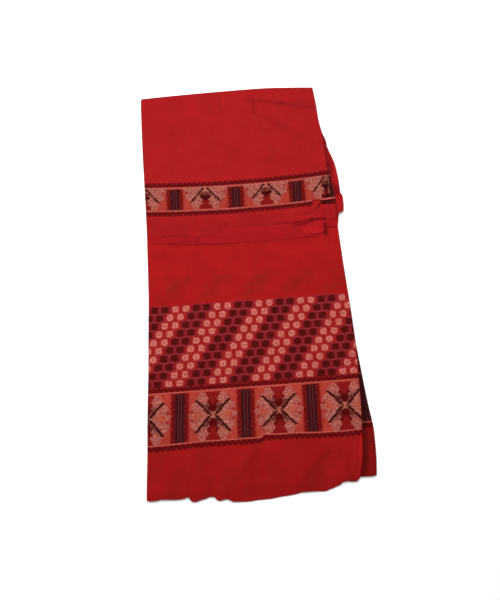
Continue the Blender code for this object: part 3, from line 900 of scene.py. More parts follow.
@dataclass(frozen=True)
class FlowerField:
    """Rows of small stepped flowers, two dark and two light in turn, half a step apart."""

    top: float = -34.1
    rows: int = 10
    row_step: float = 14.2
    flower_step: float = 17.96
    first: float = -166.3
    stitch: float = 1.66
    grain: float = 2.7
    glint: float = 1.9
    half_stitches: float = 3.5
    corner: float = 5.1
    raggedness: float = 2.6
    purple_edge: Ramp = (0.7, 1.35)
    line_half: float = 0.035
    line_reach: float = 0.4
    smudge_slant: float = 0.664
    smudge_rise: Ramp = (-4.1, -2.9)
    smudge_fall: Ramp = (-1.6, 0.0)
    smudge_edge: Ramp = (0.0, 1.8)

    def show_through(self, paint: Paint, u: Value, down: Value) -> Value:
        """Return how far the layers beneath show through the plain cloth above the field.

        They show as soft smudges that carry the dark rows' slant on and fade upwards.

        Args:
            paint: the material.
            u: place across the cloth, in millimetres.
            down: rows below the field's first one.

        Returns:
            The share, from 0 to 1.
        """
        slant = (u - self.first) / self.flower_step + down * self.smudge_slant
        aside = ((slant + 1.5).cycle(4.0) - 2.0).absolute()
        share = paint.ease(down, *self.smudge_rise) * (1 - paint.ease(down, *self.smudge_fall) * 0.55)
        patch = paint.mottle(u / 17.0 + 4.3, down * 0.8)
        return (1 - paint.ease(aside, *self.smudge_edge)) * share * (0.28 + patch * 0.52)

    def draw(self, paint: Paint, dyes: Dyes, u: Value, v: Value, under: Drawn) -> Drawn:
        """Weave the field over a colour.

        A flower is the set of stitches within 3 of its middle both ways, with ragged
        corners, and here and there without the middle stitch of a side.

        Args:
            paint: the material.
            dyes: the yarns.
            u: place across the cloth, in millimetres.
            v: place along it.
            under: what the field lies on.

        Returns:
            The field over it.
        """
        down = (self.top - v) / self.row_step
        row = down.floor()
        step = (u - self.first + row * (self.flower_step / 2)) / self.flower_step + 0.5
        flower = step.floor()
        across = ((step - flower - 0.5) * (self.flower_step / self.stitch)).nearest()
        along = ((down - row - 0.5) * (self.row_step / self.stitch)).nearest()
        grain = paint.mottle(u / self.grain, v / self.grain)
        glint = paint.mottle(u / self.glint, v / self.glint)
        wide, high = across.absolute(), along.absolute()
        both, most = wide + high, wide.at_least(high)
        petals = (most < self.half_stitches) & (both + (glint - 0.5) * self.raggedness < self.corner)
        notch = (most > self.half_stitches - 1.0) & (wide.at_most(high) < 0.5) & (grain > 0.5)
        mask = petals & (1 - notch)
        pale = paint.mix(grain * 0.85, dyes.flower_pale, dyes.flower_rose)
        pale = paint.mix(glint * 0.45, pale, dyes.flower_light)
        pale = paint.mix((both < 1.5) * 0.65, pale, dyes.rose)
        dark = paint.mix(glint, dyes.flower_dark, dyes.flower_brown)
        inside = paint.mix(flower.cycle(4.0) > 1.5, dark, pale)
        middle = (step.cycle(4.0) - 1.0).absolute()
        shade = 1 - paint.ease(middle, *self.purple_edge)
        ground = paint.mix(shade, dyes.bright_ground, dyes.purple_ground)
        ground = paint.mix(grain * (0.8 - shade * 0.25), ground, dyes.maroon)
        between = (step - step.nearest()).absolute()
        cross = (between < self.line_half) | ((high > self.half_stitches) & (between < self.line_reach))
        ground = paint.mix(cross & (glint * 0.25 + shade * 0.45), ground, dyes.thin_line)
        field_mask = (down > 0.02) & (down < self.rows + 0.02)
        plain = paint.mix(self.show_through(paint, u, down), under.colour, dyes.show_through)
        colour = paint.mix(field_mask, plain, paint.mix(mask, ground, inside))
        return Drawn(colour, under.relief | (mask & field_mask))


class MotifShown(Enum):
    """How much of a border's motif shows."""

    WHOLE = "whole"
    LOWER_HALF = "lower half"


class Disc(NamedTuple):
    """An ellipse on the cloth: its middle and its two half widths, in millimetres."""

    across: float
    along: float
    wide: float
    high: float

    def covers(self, u: Value, v: Value) -> Value:
        """Return 1 inside it, where the two scaled distances' squares add to under 1."""
        return (((u - self.across) / self.wide).square() + ((v - self.along) / self.high).square()) < 1.0


@dataclass(frozen=True)
class StepCross:
    """The borders' main motif: two stepped chevrons back to back over an hourglass."""

    shown: MotifShown = MotifShown.WHOLE
    apex: float = 3.9
    slope: float = 0.9
    arm_half: float = 1.1
    bead: float = 1.3
    bead_step: float = 3.6
    bead_gap: float = 0.25
    arm_end: float = 25.6
    blob: Disc = Disc(0.0, 14.4, 7.0, 7.6)
    lobe: Disc = Disc(15.4, 30.2, 9.0, 8.8)
    wing: Disc = Disc(27.2, 13.0, 9.0, 9.2)
    tip: Disc = Disc(35.4, 0.6, 5.2, 5.2)
    notch: Disc = Disc(33.0, 7.2, 2.9, 2.4)
    accent: Disc = Disc(25.6, 0.0, 6.4, 5.2)
    well: Ramp = (5.0, 27.0)
    strip_wide: float = 13.0
    strip_end: float = 29.0
    heart: float = 26.0
    heart_rise: float = 9.0
    outside_end: float = 24.6
    speckle: float = 0.5
    neck: float = 5.0
    flare_from: float = 25.5
    flare: float = 0.72
    flare_most: float = 14.0
    flare_end: float = 39.2

    def draw(
        self, paint: Paint, dyes: Dyes, place: tuple[Value, Value], grain: Value, under: Drawn
    ) -> Drawn:
        """Weave the motif over a colour.

        Args:
            paint: the material.
            dyes: the yarns.
            place: distances from the motif's middle across and along, in millimetres,
                neither below 0.
            grain: how mottled the yarn is there, from 0 to 1.
            under: what it lies on.

        Returns:
            The motif over it.
        """
        u, v = place
        beside = u - (v * self.slope + self.apex)
        half = ((v / self.bead_step).cycle(1.0) > self.bead_gap) * self.bead + self.arm_half
        arms = (beside.absolute() < half) & (v < self.arm_end)
        width = (((v - self.flare_from) * self.flare).at_least(0.0) + self.neck).at_most(self.flare_most)
        stem = (u < width) & (v > self.blob.along) & (v < self.flare_end)
        discs = (self.blob, self.lobe, self.wing, self.tip, self.notch)
        blob, lobe, wing, tip, notch = (disc.covers(u, v) for disc in discs)
        well = (beside < 0.0) & (v < self.well[1]) & (v > self.well[0]) & (1 - stem)
        strip = (beside > -self.strip_wide) & (v < self.strip_end)
        inside = (beside < 0.0) & (lobe | strip) & (1 - (stem | blob))
        heart = (u < self.heart) & (v < self.heart_rise + (self.heart - u))
        outside = (beside > 0.0) & (wing | heart | tip) & (v < self.outside_end) & (1 - notch)
        cloud = paint.mottle(u / 5.0 + 3.1, v / 5.0)
        pale = paint.mix(grain, dyes.pale, dyes.rose)
        pale = paint.mix(cloud * self.speckle, pale, dyes.brick)
        dark = paint.mix(grain * 0.7, dyes.maroon, dyes.brick)
        colour = paint.mix(well, under.colour, paint.mix(grain, dyes.wine, dyes.maroon))
        colour = paint.mix(notch * 0.7, colour, dyes.brick)
        colour = paint.mix(inside | outside, colour, pale)
        if self.shown is MotifShown.WHOLE:
            accent = self.accent.covers(u, v) & (1 - tip)
            colour = paint.mix(accent * (0.25 + grain * 0.5), colour, dyes.orange)
        colour = paint.mix(stem, colour, dark)
        if self.shown is MotifShown.WHOLE:
            near = 1 - paint.ease(v, 15.0, 23.0)
            colour = paint.mix((blob | well) & (near * (0.55 + grain * 0.45)), colour, dyes.zigzag)
        if self.shown is MotifShown.LOWER_HALF:
            colour = paint.mix(blob, colour, paint.mix(grain, dyes.black, dyes.wine))
            lattice = blob & (v < self.blob.along - 1.0)
            colour = paint.mix(lattice * grain * 0.8, colour, dyes.rose)
        colour = paint.mix(arms * 0.96, colour, dyes.black)
        return Drawn(colour, under.relief | inside | outside | arms)


@dataclass(frozen=True)
class WovenBorder:
    """A band between two pale lines, with bars, motifs and a zigzag along either side."""

    top: float
    foot: float
    motif_at: float
    bar_top_gap: float
    zigzag_top: float
    zigzag_foot: float
    motif: StepCross
    bar_foot_gap: float = 1.6
    first_motif: float = 40.2
    period: float = 107.2
    stitches: int = 60
    zigzag_stitches: int = 5
    zigzag_high: float = 1.35
    zigzag_half: float = 1.45
    zigzag_reach: float = 2.6
    bar_half: float = 13.5
    bar_fade: Ramp = (19.0, 13.0)
    tooth_stitches: int = 5
    tooth_long: float = 1.6
    core_half: float = 8.3
    stripe_step: float = 4.6
    line_half: float = 0.9
    grain: float = 2.7

    def bar(self, paint: Paint, dyes: Dyes, to_bar: Value, grain: Value) -> Colour:
        """Return a bar's colours: dark, with thin paler stripes and mottled edges.

        The stripes are the fourth power of a sine of the distance from the middle line,
        and fade out away from it.

        Args:
            paint: the material.
            dyes: the yarns.
            to_bar: distance from the bar's middle line, in millimetres.
            grain: how mottled the yarn is there, from 0 to 1.

        Returns:
            Its colour.
        """
        stripe = (to_bar * (math.pi / self.stripe_step)).sine().square().square()
        share = stripe * (1 - paint.ease(to_bar, 4.0, self.core_half)) * 0.5 + grain * 0.12
        base = paint.mix(stripe, dyes.black, dyes.plum)
        core = paint.mix(share, base, dyes.mauve)
        edge = paint.mix(grain * 0.8, dyes.wine, dyes.maroon)
        edge = paint.mix(paint.ease(grain, 0.55, 0.85) * 0.6, edge, dyes.brick)
        return paint.mix(to_bar < self.core_half, edge, core)

    def zigzag(self, column: Value, line: Value, side: float) -> Value:
        """Return 1 on a stepped zigzag that swings to either side of a middle line.

        Args:
            column: the stitch's number across.
            line: its number from the middle line.
            side: 1 where the first tooth points up, or -1.

        Returns:
            Whether the stitch is on it.
        """
        turn = (column / self.zigzag_stitches).cycle(1.0) - 0.5
        wave = (turn.absolute() * 4.0 - 1.0) * (self.zigzag_high * side)
        return (line - wave).absolute() < self.zigzag_half

    def draw(self, paint: Paint, dyes: Dyes, u: Value, v: Value, under: Drawn) -> Drawn:
        """Weave the border over a colour.

        Args:
            paint: the material.
            dyes: the yarns.
            u: place across the cloth, in millimetres.
            v: place along it.
            under: what the border lies on.

        Returns:
            The border over it.
        """
        half = self.period / 2
        stitch = self.period / self.stitches
        from_motif = (u - self.first_motif + half).cycle(self.period) - half
        column = (from_motif / stitch).nearest()
        line = ((v - self.motif_at) / stitch).nearest()
        grain = paint.mottle(u / self.grain, v / self.grain)
        place = ((column * stitch).absolute(), (line * stitch).absolute())
        to_bar = half - from_motif.absolute()
        ground = paint.mix(paint.ease(to_bar, *self.bar_fade) * 0.75, dyes.salmon, dyes.brick)
        ground = paint.mix(paint.mottle(u / 2.2, v / 11.0) * 0.5, ground, dyes.brick)
        ground = paint.mix(paint.mottle(u / 9.0, v / 12.0) * 0.22, ground, dyes.orange)
        band = self.motif.draw(paint, dyes, place, grain, Drawn(ground, under.relief))
        tooth = (line / self.tooth_stitches).cycle(1.0) * self.tooth_long
        tall = (v < self.top - self.bar_top_gap) & (v > self.foot + self.bar_foot_gap)
        bar = (to_bar < tooth + self.bar_half) & tall
        colour = paint.mix(bar, band.colour, self.bar(paint, dyes, to_bar, grain))
        in_band = (v < self.top) & (v > self.foot)
        colour = paint.mix(in_band, under.colour, colour)
        relief = under.relief | (in_band & (band.relief | bar))
        above, below = (v - self.zigzag_top) / stitch, (v - self.zigzag_foot) / stitch
        beside = (above < self.zigzag_reach) & (below > -self.zigzag_reach) & (1 - in_band)
        colour = paint.mix(beside * (0.95 - grain * 0.5), colour, dyes.maroon)
        upper = self.zigzag(column, above.nearest(), 1.0)
        lower = self.zigzag(column, below.nearest(), -1.0)
        zigzag = (upper | lower) & (1 - in_band)
        colour = paint.mix(zigzag * (1 - grain * 0.35), colour, dyes.zigzag)
        to_line = (v - self.top).absolute().at_most((v - self.foot).absolute())
        lines = to_line < self.line_half
        colour = paint.mix(lines * (0.85 - grain * 0.4), colour, dyes.line)
        return Drawn(colour, relief | zigzag | lines)


BROAD_BORDER = WovenBorder(
    top=-184.0,
    foot=-264.6,
    motif_at=-225.2,
    bar_top_gap=2.6,
    zigzag_top=-178.6,
    zigzag_foot=-270.2,
    motif=StepCross(),
)
NARROW_BORDER = WovenBorder(
    top=180.8,
    foot=136.8,
    motif_at=178.2,
    bar_top_gap=3.4,
    zigzag_top=186.4,
    zigzag_foot=131.4,
    period=109.0,
    line_half=1.3,
    motif=StepCross(
        shown=MotifShown.LOWER_HALF,
        slope=0.85,
        arm_half=1.6,
        speckle=0.34,
        blob=Disc(0.0, 14.4, 9.8, 8.2),
        strip_wide=18.0,
        heart=37.0,
        neck=4.8,
        flare_from=29.8,
        flare=3.0,
        flare_most=11.2,
    ),
)


@dataclass(frozen=True)
class MekhelaFinish:
    """The cloth's finish: its plain colour, its woven patterns, its weave and its yarns."""

    name: str
    base: Tint
    patterns: tuple[Any, ...] = ()
    weave: CottonWeave = CottonWeave()
    dyes: Dyes = Dyes()

    def material(self) -> bpy.types.Material:
        """Make the material: the plain weave, its patterns in order, and the painted shade of folds and
        creases.

        Returns:
            The material.
        """
        paint, weave = Paint(self.name), self.weave
        u, v = paint.weave()
        threads = weave.threads(u, v)
        drawn = Drawn(self.base, threads * 0.0)
        for pattern in self.patterns:
            drawn = pattern.draw(paint, self.dyes, u, v, drawn)
        # The mesh's painted shade of folds and creases darkens the colour, and lightens it below 0.
        colour = paint.dim(drawn.colour, weave.tone(paint, u, v) * (1 - paint.painted_fold_shade()))
        floats = weave.floats(v) * drawn.relief
        height = threads * (1 - drawn.relief * 0.6) * 0.5 + drawn.relief * 1.1 + floats * 0.6
        roughness = weave.roughness - drawn.relief * weave.float_smoothness
        constants = {
            "Specular IOR Level": weave.gloss,
            "Specular Tint": weave.sheen_tint,
            "Sheen Weight": weave.sheen,
            "Sheen Roughness": weave.sheen_roughness,
            "Sheen Tint": weave.sheen_tint,
        }
        return paint.finish(colour, roughness, height, weave.relief, constants)


@dataclass(frozen=True)
class FrontLie:
    """How the body's cloth lies: from the first row of flowers down it fans out and leans."""

    fan_from: float = -0.041
    lean: float = 0.037
    widening: float = 0.1276
    row_slope: float = 0.010
    drift_below: Ramp = (-0.238, -0.260)

    def weave(self, x: Array, y: Array) -> Array:
        """Return the cloth's own coordinates on the body, from a place in plan.

        The pattern widens and leans left in proportion to the distance below where it
        starts to fan out, and its rows rise slowly to the right. Near the hem the rows
        drift further, with one small jog.

        Args:
            x: place across, as if unrolled.
            y: place along.

        Returns:
            The two coordinates.
        """
        below = self.fan_from - y
        across = (x + self.lean * below) / (1 + self.widening * below)
        drift = np.interp(x, FOOT_DRIFT.columns["x"], FOOT_DRIFT.columns["y"])
        drift = drift * rise(y, *self.drift_below)
        return np.stack([across, y - self.row_slope * x - drift], axis=-1)


@dataclass(frozen=True)
class FlapLie:
    """How the turned-over end's cloth lies: its rows bow, and a fold takes up some width."""

    row_start: float = 0.0026
    row_slope: float = 0.0185
    row_bow: float = 0.22
    taken_width: float = 0.047
    taken_across: Ramp = (0.1490, 0.1580)
    taken_along: Ramp = (0.128, 0.140)
    tucked_length: float = 0.012
    tucked_from: Ramp = (0.1200, 0.1220)
    tucked_until: Ramp = (0.1370, 0.1340)
    tucked_below: Ramp = (0.1420, 0.1380)

    def weave(self, x: Array, y: Array) -> Array:
        """Return the cloth's own coordinates on the turned-over end, from a place in plan.

        Past the pinched fold near its right edge the cloth goes on with the width that the
        fold takes up, and before it a strip of the border's foot is tucked away.

        Args:
            x: place across, as if unrolled.
            y: place along.

        Returns:
            The two coordinates.
        """
        bow = self.row_slope * x + self.row_bow * x**2 - self.row_start
        taken = rise(x, *self.taken_across) * rise(y, *self.taken_along)
        tucked = rise(x, *self.tucked_from) * rise(x, *self.tucked_until)
        along = y - bow - self.tucked_length * tucked * rise(y, *self.tucked_below)
        return np.stack([x + self.taken_width * taken, along], axis=-1)


def squeeze(drop: Array, top: Array, floor: float, full: float, least: float) -> Array:
    """Return a drop in proportion to the face's height from a floor to full, or the least."""
    return drop * np.clip((top - floor) / (full - floor), least, 1.0)


@dataclass
class ClothPiece:
    """A piece of the cloth, laid by the fold plan."""

    plan: FoldPlan
    finish: MekhelaFinish

    def build(self) -> bpy.types.Object:
        """Make the piece, which each kind does in its own way."""
        raise NotImplementedError

    def dress(self, piece: bpy.types.Object) -> None:
        """Give the piece its weave and its patterns."""
        piece.data.materials.append(self.finish.material())


@dataclass
class FrontCloth(ClothPiece):
    """The body's top layer, folded down over its left side."""

    finish: MekhelaFinish = MekhelaFinish("front_cotton", Dyes().red, (FlowerField(), BROAD_BORDER))
    lie: FrontLie = FrontLie()
    thickness: float = 0.0006
    visible_share: float = 0.62
    visible_rows: int = 176
    hidden_rows: int = 24
    columns: int = 184
    left_roll: EdgeRoll = EdgeRoll(0.002725, math.radians(178), steps=12, lip=0.003, lip_steps=2)
    right_roll: EdgeRoll = EdgeRoll(0.00035, math.radians(178), steps=6, lip=0.012, lip_steps=3)
    least_drop: float = 0.4

    def build(self) -> bpy.types.Object:
        """Sweep the layer from its hem to the top fold.

        Each row runs across between the section's edges. Its height is the front's, and
        what turns under at the sides drops in proportion to that height.

        Returns:
            The piece.
        """
        plan = self.plan
        visible = np.linspace(0.0, self.visible_share, self.visible_rows)
        part = np.concatenate([visible, steps(self.hidden_rows, self.visible_share)])[:, None]
        key = BODY_SECTIONS.span(part)
        left = BODY_SECTIONS.at("left", key) + self.thickness / 2
        right = BODY_SECTIONS.at("front_right", key) - self.thickness / 2
        spread = np.linspace(0.0, 1.0, self.columns)
        across = lay_across((left, right), (self.left_roll, self.right_roll), spread)
        x = across.x
        y = plan.along_body(FRONT_HEM.at("y", x), x, part)
        top = plan.front_height(x, y)
        z = top - squeeze(across.drop, top, plan.bottom, plan.front, self.least_drop)
        weave = self.lie.weave(across.cloth_x, y)
        # The body's creases give the sheet its painted shade and highlight.
        sheet = ClothSheet(np.stack([x, y, z], axis=-1), weave, self.thickness, BODY_CREASES.shade(x, y))
        return make_piece("front_cloth", sheet)


@dataclass
class UnderCloth(ClothPiece):
    """The body's second layer, which shows along the right, folded down over that side."""

    finish: MekhelaFinish = MekhelaFinish("under_cotton", Dyes().red, (FlowerField(), BROAD_BORDER))
    lie: FrontLie = FrontLie()
    thickness: float = 0.0005
    rows: int = 130
    columns: int = 70
    start_inset: float = 0.0090
    pattern_ahead: float = 0.0180
    pattern_up: float = 0.0105
    right_roll: EdgeRoll = EdgeRoll(0.0020, math.radians(178), steps=10, lip=0.003, lip_steps=2)
    crowding: float = 1.8
    # Painted shade on this layer: darkest right beside the front's edge, as the front's shadow, lighter
    # further out.
    shade_under: float = 0.64
    painted_shade_further_out: float = 0.32
    shown_beside: Ramp = (0.005, 0.011)

    def build(self) -> bpy.types.Object:
        """Sweep the layer from its hem to the top fold, at one height.

        Its columns crowd towards the right side, and painted shade darkens it: most close beside the front,
        as the front's shadow, and less further out.

        Returns:
            The piece.
        """
        plan = self.plan
        part = np.linspace(0.0, 1.0, self.rows)[:, None]
        key = BODY_SECTIONS.span(part)
        left = BODY_SECTIONS.at("left", key) + self.start_inset
        right = BODY_SECTIONS.at("under_right", key) - self.thickness / 2
        spread = 1 - (1 - np.linspace(0.0, 1.0, self.columns)) ** self.crowding
        across = lay_across((left, right), (EdgeRoll(), self.right_roll), spread)
        x = across.x
        y = plan.along_body(UNDER_HEM.at("y", x), x, part)
        # Painted shade: the front's shadow close beside its right edge, eased to a lighter shade further
        # out.
        shown = rise(x - BODY_SECTIONS.at("front_right", y), *self.shown_beside)
        shade = self.shade_under + (self.painted_shade_further_out - self.shade_under) * shown
        weave = self.lie.weave(across.cloth_x + self.pattern_ahead, y - self.pattern_up)
        middle = np.stack([x, y, plan.under - across.drop], axis=-1)
        return make_piece("under_cloth", ClothSheet(middle, weave, self.thickness, shade))


@dataclass
class FlapCloth(ClothPiece):
    """The turned-over top layer, from the waist edge over the top fold to the floor."""

    finish: MekhelaFinish = MekhelaFinish(
        "flap_cotton", seen(178, 27, 30, 2.18), (NARROW_BORDER,), dyes=Dyes().under(0.78)
    )
    lie: FlapLie = FlapLie()
    thickness: float = 0.0006
    thinner_edge: float = 0.0003
    rows: Spacing = Spacing(150, 0.07, 0.20, times=3.5)
    columns: Spacing = Spacing(186, 0.89, 1.0, times=3.5)
    fold_rows: int = 18
    foot_rows: int = 3
    foot_short: float = 0.0002
    left_roll: EdgeRoll = EdgeRoll(0.0027, math.radians(176), steps=12)
    right_roll: EdgeRoll = EdgeRoll(0.0022, math.radians(22), steps=2)
    open_share: float = 0.33
    closing: Ramp = (0.002, 0.024)
    least_drop: float = 0.15

    def build(self) -> bpy.types.Object:
        """Sweep the layer along the flap, round the top fold and a little way under.

        On the flap each row runs between the section's edges. In the fold it turns about
        the fold's middle line, and what turns in at the left side turns with it.

        Returns:
            The piece.
        """
        plan = self.plan
        lean = steps(self.fold_rows, 0.0, math.pi)
        foot = steps(self.foot_rows, 0.0, plan.panel_end - self.foot_short)
        after = self.fold_rows + self.foot_rows
        flat = np.zeros(self.rows.count)
        part = np.concatenate([self.rows.places(), np.ones(after)])[:, None]
        turned = np.concatenate([flat, lean, np.full(self.foot_rows, math.pi)])[:, None]
        past = np.concatenate([flat, np.zeros(self.fold_rows), foot])[:, None]
        key = FLAP_SECTIONS.span(part)
        left = FLAP_SECTIONS.at("left", key) + self.thickness / 2
        right = FLAP_SECTIONS.at("right", key) - self.thickness / 2
        closed = rise(key - FLAP_SECTIONS.keys[0], *self.closing)
        turn = self.left_roll.turn * (self.open_share + (1 - self.open_share) * closed)
        rolls = (self.left_roll._replace(turn=turn), self.right_roll)
        across = lay_across((left, right), rolls, self.columns.places())
        x = across.x
        start, fold = WAIST_EDGE.at("top_y", x), plan.fold_start(x)
        flat_y = start + (fold - start) * part
        top = np.where(turned > 0, plan.flap, plan.flap_height(x, flat_y))
        reach = np.where(turned > 0, plan.fold_middle - plan.bottom, top - plan.fold_middle)
        reach = reach - squeeze(across.drop, top, plan.flap_base, plan.flap, self.least_drop)
        y = np.where(turned > 0, fold - past + reach * np.sin(turned), flat_y)
        z = plan.fold_middle + reach * np.cos(turned)
        weave = self.lie.weave(across.cloth_x, flat_y + plan.fold_radius * turned + past)
        # Painted shade and highlight of the creases, on the flat part only.
        shade = FLAP_CREASES.shade(x, y) * (turned == 0)
        thin = rise(flat_y - start, *plan.edge_thinner) * (1 - plan.top_edge_loose(x)) * (turned == 0)
        thickness = self.thickness - self.thinner_edge * thin
        sheet = ClothSheet(np.stack([x, y, z], axis=-1), weave, thickness, shade)
        return make_piece("flap_cloth", sheet)


@dataclass
class FlapUnderCloth(ClothPiece):
    """The turned-over end's second layer, at its right and below its edge."""

    finish: MekhelaFinish = MekhelaFinish("flap_under_cotton", seen(179, 24, 29, 2.18))
    lie: FlapLie = FlapLie()
    thickness: float = 0.0005
    thinner_edge: float = 0.0002
    rows: Spacing = Spacing(150, 0.0, 0.17, times=4.0)
    columns: Spacing = Spacing(150, 0.74, 1.0, times=2.0)
    start_inset: float = 0.0038
    open_length: float = 0.026
    open_inset: float = 0.011
    open_turn: float = math.radians(24)
    closing: Ramp = (-0.004, 0.016)
    right_roll: EdgeRoll = EdgeRoll(0.00195, math.radians(170), steps=9)
    least_drop: float = 0.1
    weave_back: float = 0.4

    def build(self) -> bpy.types.Object:
        """Sweep the layer from the waist edge to the top fold.

        Its right edge turns under, and eases open towards the waist edge and the fold.

        Returns:
            The piece.
        """
        plan = self.plan
        part = self.rows.places()[:, None]
        key = FLAP_SECTIONS.span(part)
        left = FLAP_SECTIONS.at("left", key) + self.start_inset
        right = FLAP_SECTIONS.at("under_right", key) - self.thickness / 2
        opened = plan.fold_start(np.zeros(1)) - self.open_inset
        closed = rise(key, opened, opened - self.open_length)
        closed = closed * rise(key - FLAP_SECTIONS.keys[0], *self.closing)
        turn = self.open_turn + (self.right_roll.turn - self.open_turn) * closed
        rolls = (EdgeRoll(), self.right_roll._replace(turn=turn))
        across = lay_across((left, right), rolls, self.columns.places())
        x = across.x
        start = WAIST_EDGE.at("under_y", x)
        y = start + (plan.fold_start(x) - start) * part
        top = plan.flap_under_height(x, y)
        z = top - squeeze(across.drop, top, plan.flap_base, plan.flap_under, self.least_drop)
        thin = rise(y - start, *plan.edge_thinner) * plan.under_edge_clings(x)
        thickness = self.thickness - self.thinner_edge * thin
        weave = self.lie.weave(across.cloth_x, y - self.weave_back)
        # Painted shade and highlight of this layer's creases, and painted shadow by the top layer's edge.
        shade = UNDER_FLAP_CREASES.shade(x, y)
        sheet = ClothSheet(np.stack([x, y, z], axis=-1), weave, thickness, shade)
        return make_piece("flap_under_cloth", sheet)


class PlyEnds(NamedTuple):
    """How far a hidden layer stays inside the visible ones at each side and end."""

    left: float
    right: float
    waist: float
    hem: float


@dataclass
class InnerPlies(ClothPiece):
    """The hidden layers, each a thin sheet round the top fold, and the bottom one."""

    finish: MekhelaFinish = MekhelaFinish("inner_cotton", seen(140, 14, 14, 1.9))
    thickness: float = 0.0005
    columns: int = 34
    flap_rows: int = 24
    fold_rows: int = 12
    body_rows: int = 40
    crowding: float = 1.4
    flap_start: float = 0.080
    tight_pitch: float = 0.00065
    tight_base: float = 0.00687
    tight_until: float = 0.0193
    tight_ease: float = 0.014
    short_end: float = 0.0038
    hem_inset: float = 0.003
    hem_wave: float = 0.0012
    wave_rate: float = 70.0
    wave_rate_step: float = 23.0
    wave_ahead_step: float = 2.1
    upper_wave: float = 0.0011
    upper_wave_rate: float = 61.0
    weave_turn: float = 0.3
    weave_back: float = 0.6
    bottom_ends: PlyEnds = PlyEnds(left=0.0066, right=0.0062, waist=0.0006, hem=0.002)
    ends: tuple[PlyEnds, ...] = (
        PlyEnds(left=0.0036, right=0.0030, waist=0.0043, hem=0.0012),
        PlyEnds(left=0.0030, right=0.0036, waist=0.0093, hem=-0.0010),
        PlyEnds(left=0.0038, right=0.0028, waist=0.0143, hem=0.0022),
        PlyEnds(left=0.0032, right=0.0034, waist=0.0193, hem=0.0004),
    )

    def lay_between(self, left: Array, right: Array, ends: PlyEnds) -> Array:
        """Return even places across, some way inside two edges."""
        left, right = left + ends.left, right - ends.right
        return left + (right - left) * np.linspace(0.0, 1.0, self.columns)

    def lay_on_body(self, part: Array, ends: PlyEnds) -> Array:
        """Return even places across at a share of the way along the body."""
        key = BODY_SECTIONS.span(part)
        return self.lay_between(BODY_SECTIONS.at("left", key), BODY_SECTIONS.at("under_right", key), ends)

    def flap_ply_height(self, index: int, x: Array, y: Array) -> Array:
        """Height of a hidden layer of the flap, pressed together near the waist edge.

        Args:
            index: the layer, from 0 for the lowest.
            x: places across.
            y: places along.

        Returns:
            The height of its middle face.
        """
        tight = self.tight_base + self.tight_pitch * index
        past = (y - WAIST_EDGE.at("under_y", x) - self.tight_until) / self.tight_ease
        return tight + (self.plan.flap_plies[index] - tight) * np.clip(past, 0.0, 1.0)

    def reach(self, stage: Array, flap_height: Array | float, body_height: float) -> Array:
        """Return how far a layer is from the fold's middle line at a stage of its turn."""
        above, below = flap_height - self.plan.fold_middle, self.plan.fold_middle - body_height
        return above + (below - above) * stage / math.pi

    def ply(self, index: int, body_height: float, body_from_fold: bool) -> ClothSheet:
        """Trace one hidden layer from the waist end round the top fold to its hem.

        Args:
            index: the layer, from 0 for the lowest of the flap's.
            body_height: its height in the body.
            body_from_fold: True if the body's part is a visible layer's, so that this one
                ends where the fold does.

        Returns:
            The layer.
        """
        plan, ends = self.plan, self.ends[index]
        count = 2 if body_from_fold else self.body_rows
        before = self.flap_rows + self.fold_rows
        flap_part = np.linspace(0.0, 1.0, self.flap_rows) ** self.crowding
        lean = steps(self.fold_rows, 0.0, math.pi)
        stage = np.concatenate([np.zeros(self.flap_rows), lean, np.full(count, math.pi)])[:, None]
        on_flap = np.concatenate([flap_part, np.ones(self.fold_rows + count)])[:, None]
        on_body = np.concatenate([np.zeros(before), steps(count)])[:, None]
        flap_y = self.flap_start + (FLAP_SECTIONS.keys[-1] - self.flap_start) * on_flap
        body_y = BODY_SECTIONS.span(np.ones_like(on_body) if body_from_fold else 1 - on_body)
        turned = rise(stage, 0.0, math.pi)
        edges = []
        for flap_side, body_side in (("left", "left"), ("right", "under_right")):
            flap_edge = FLAP_SECTIONS.at(flap_side, flap_y)
            edges.append(flap_edge + (BODY_SECTIONS.at(body_side, body_y) - flap_edge) * turned)
        x = self.lay_between(*edges, ends)
        fold, start = plan.fold_start(x), WAIST_EDGE.at("under_y", x) + ends.waist
        wave = np.sin(x * (self.wave_rate + self.wave_rate_step * index) + self.wave_ahead_step * index)
        hem = UNDER_HEM.at("y", x) + self.hem_inset + ends.hem + self.hem_wave * wave
        end = fold - self.short_end if body_from_fold else hem
        flat_y = start + (fold - start) * on_flap
        reach = self.reach(stage, self.flap_ply_height(index, x, flat_y), body_height)
        y = np.where(stage > 0, fold + (end - fold) * on_body + reach * np.sin(stage), flat_y)
        z = plan.fold_middle + reach * np.cos(stage)
        weave = np.stack([x, y + self.weave_turn * stage - self.weave_back], axis=-1)
        return ClothSheet(np.stack([x, y, z], axis=-1), weave, self.thickness)

    def bottom_ply(self) -> ClothSheet:
        """Lay the bottom layer from the hem to the foot of the top fold.

        Returns:
            The layer.
        """
        plan, ends = self.plan, self.bottom_ends
        part = np.linspace(0.0, 1.0, self.body_rows)[:, None]
        x = self.lay_on_body(part, ends)
        y = plan.along_body(UNDER_HEM.at("y", x) + ends.hem, x, part) - ends.waist * part
        middle = np.stack([x, y, np.full_like(y, plan.bottom)], axis=-1)
        return ClothSheet(middle, np.stack([x, y - self.weave_back], axis=-1), self.thickness)

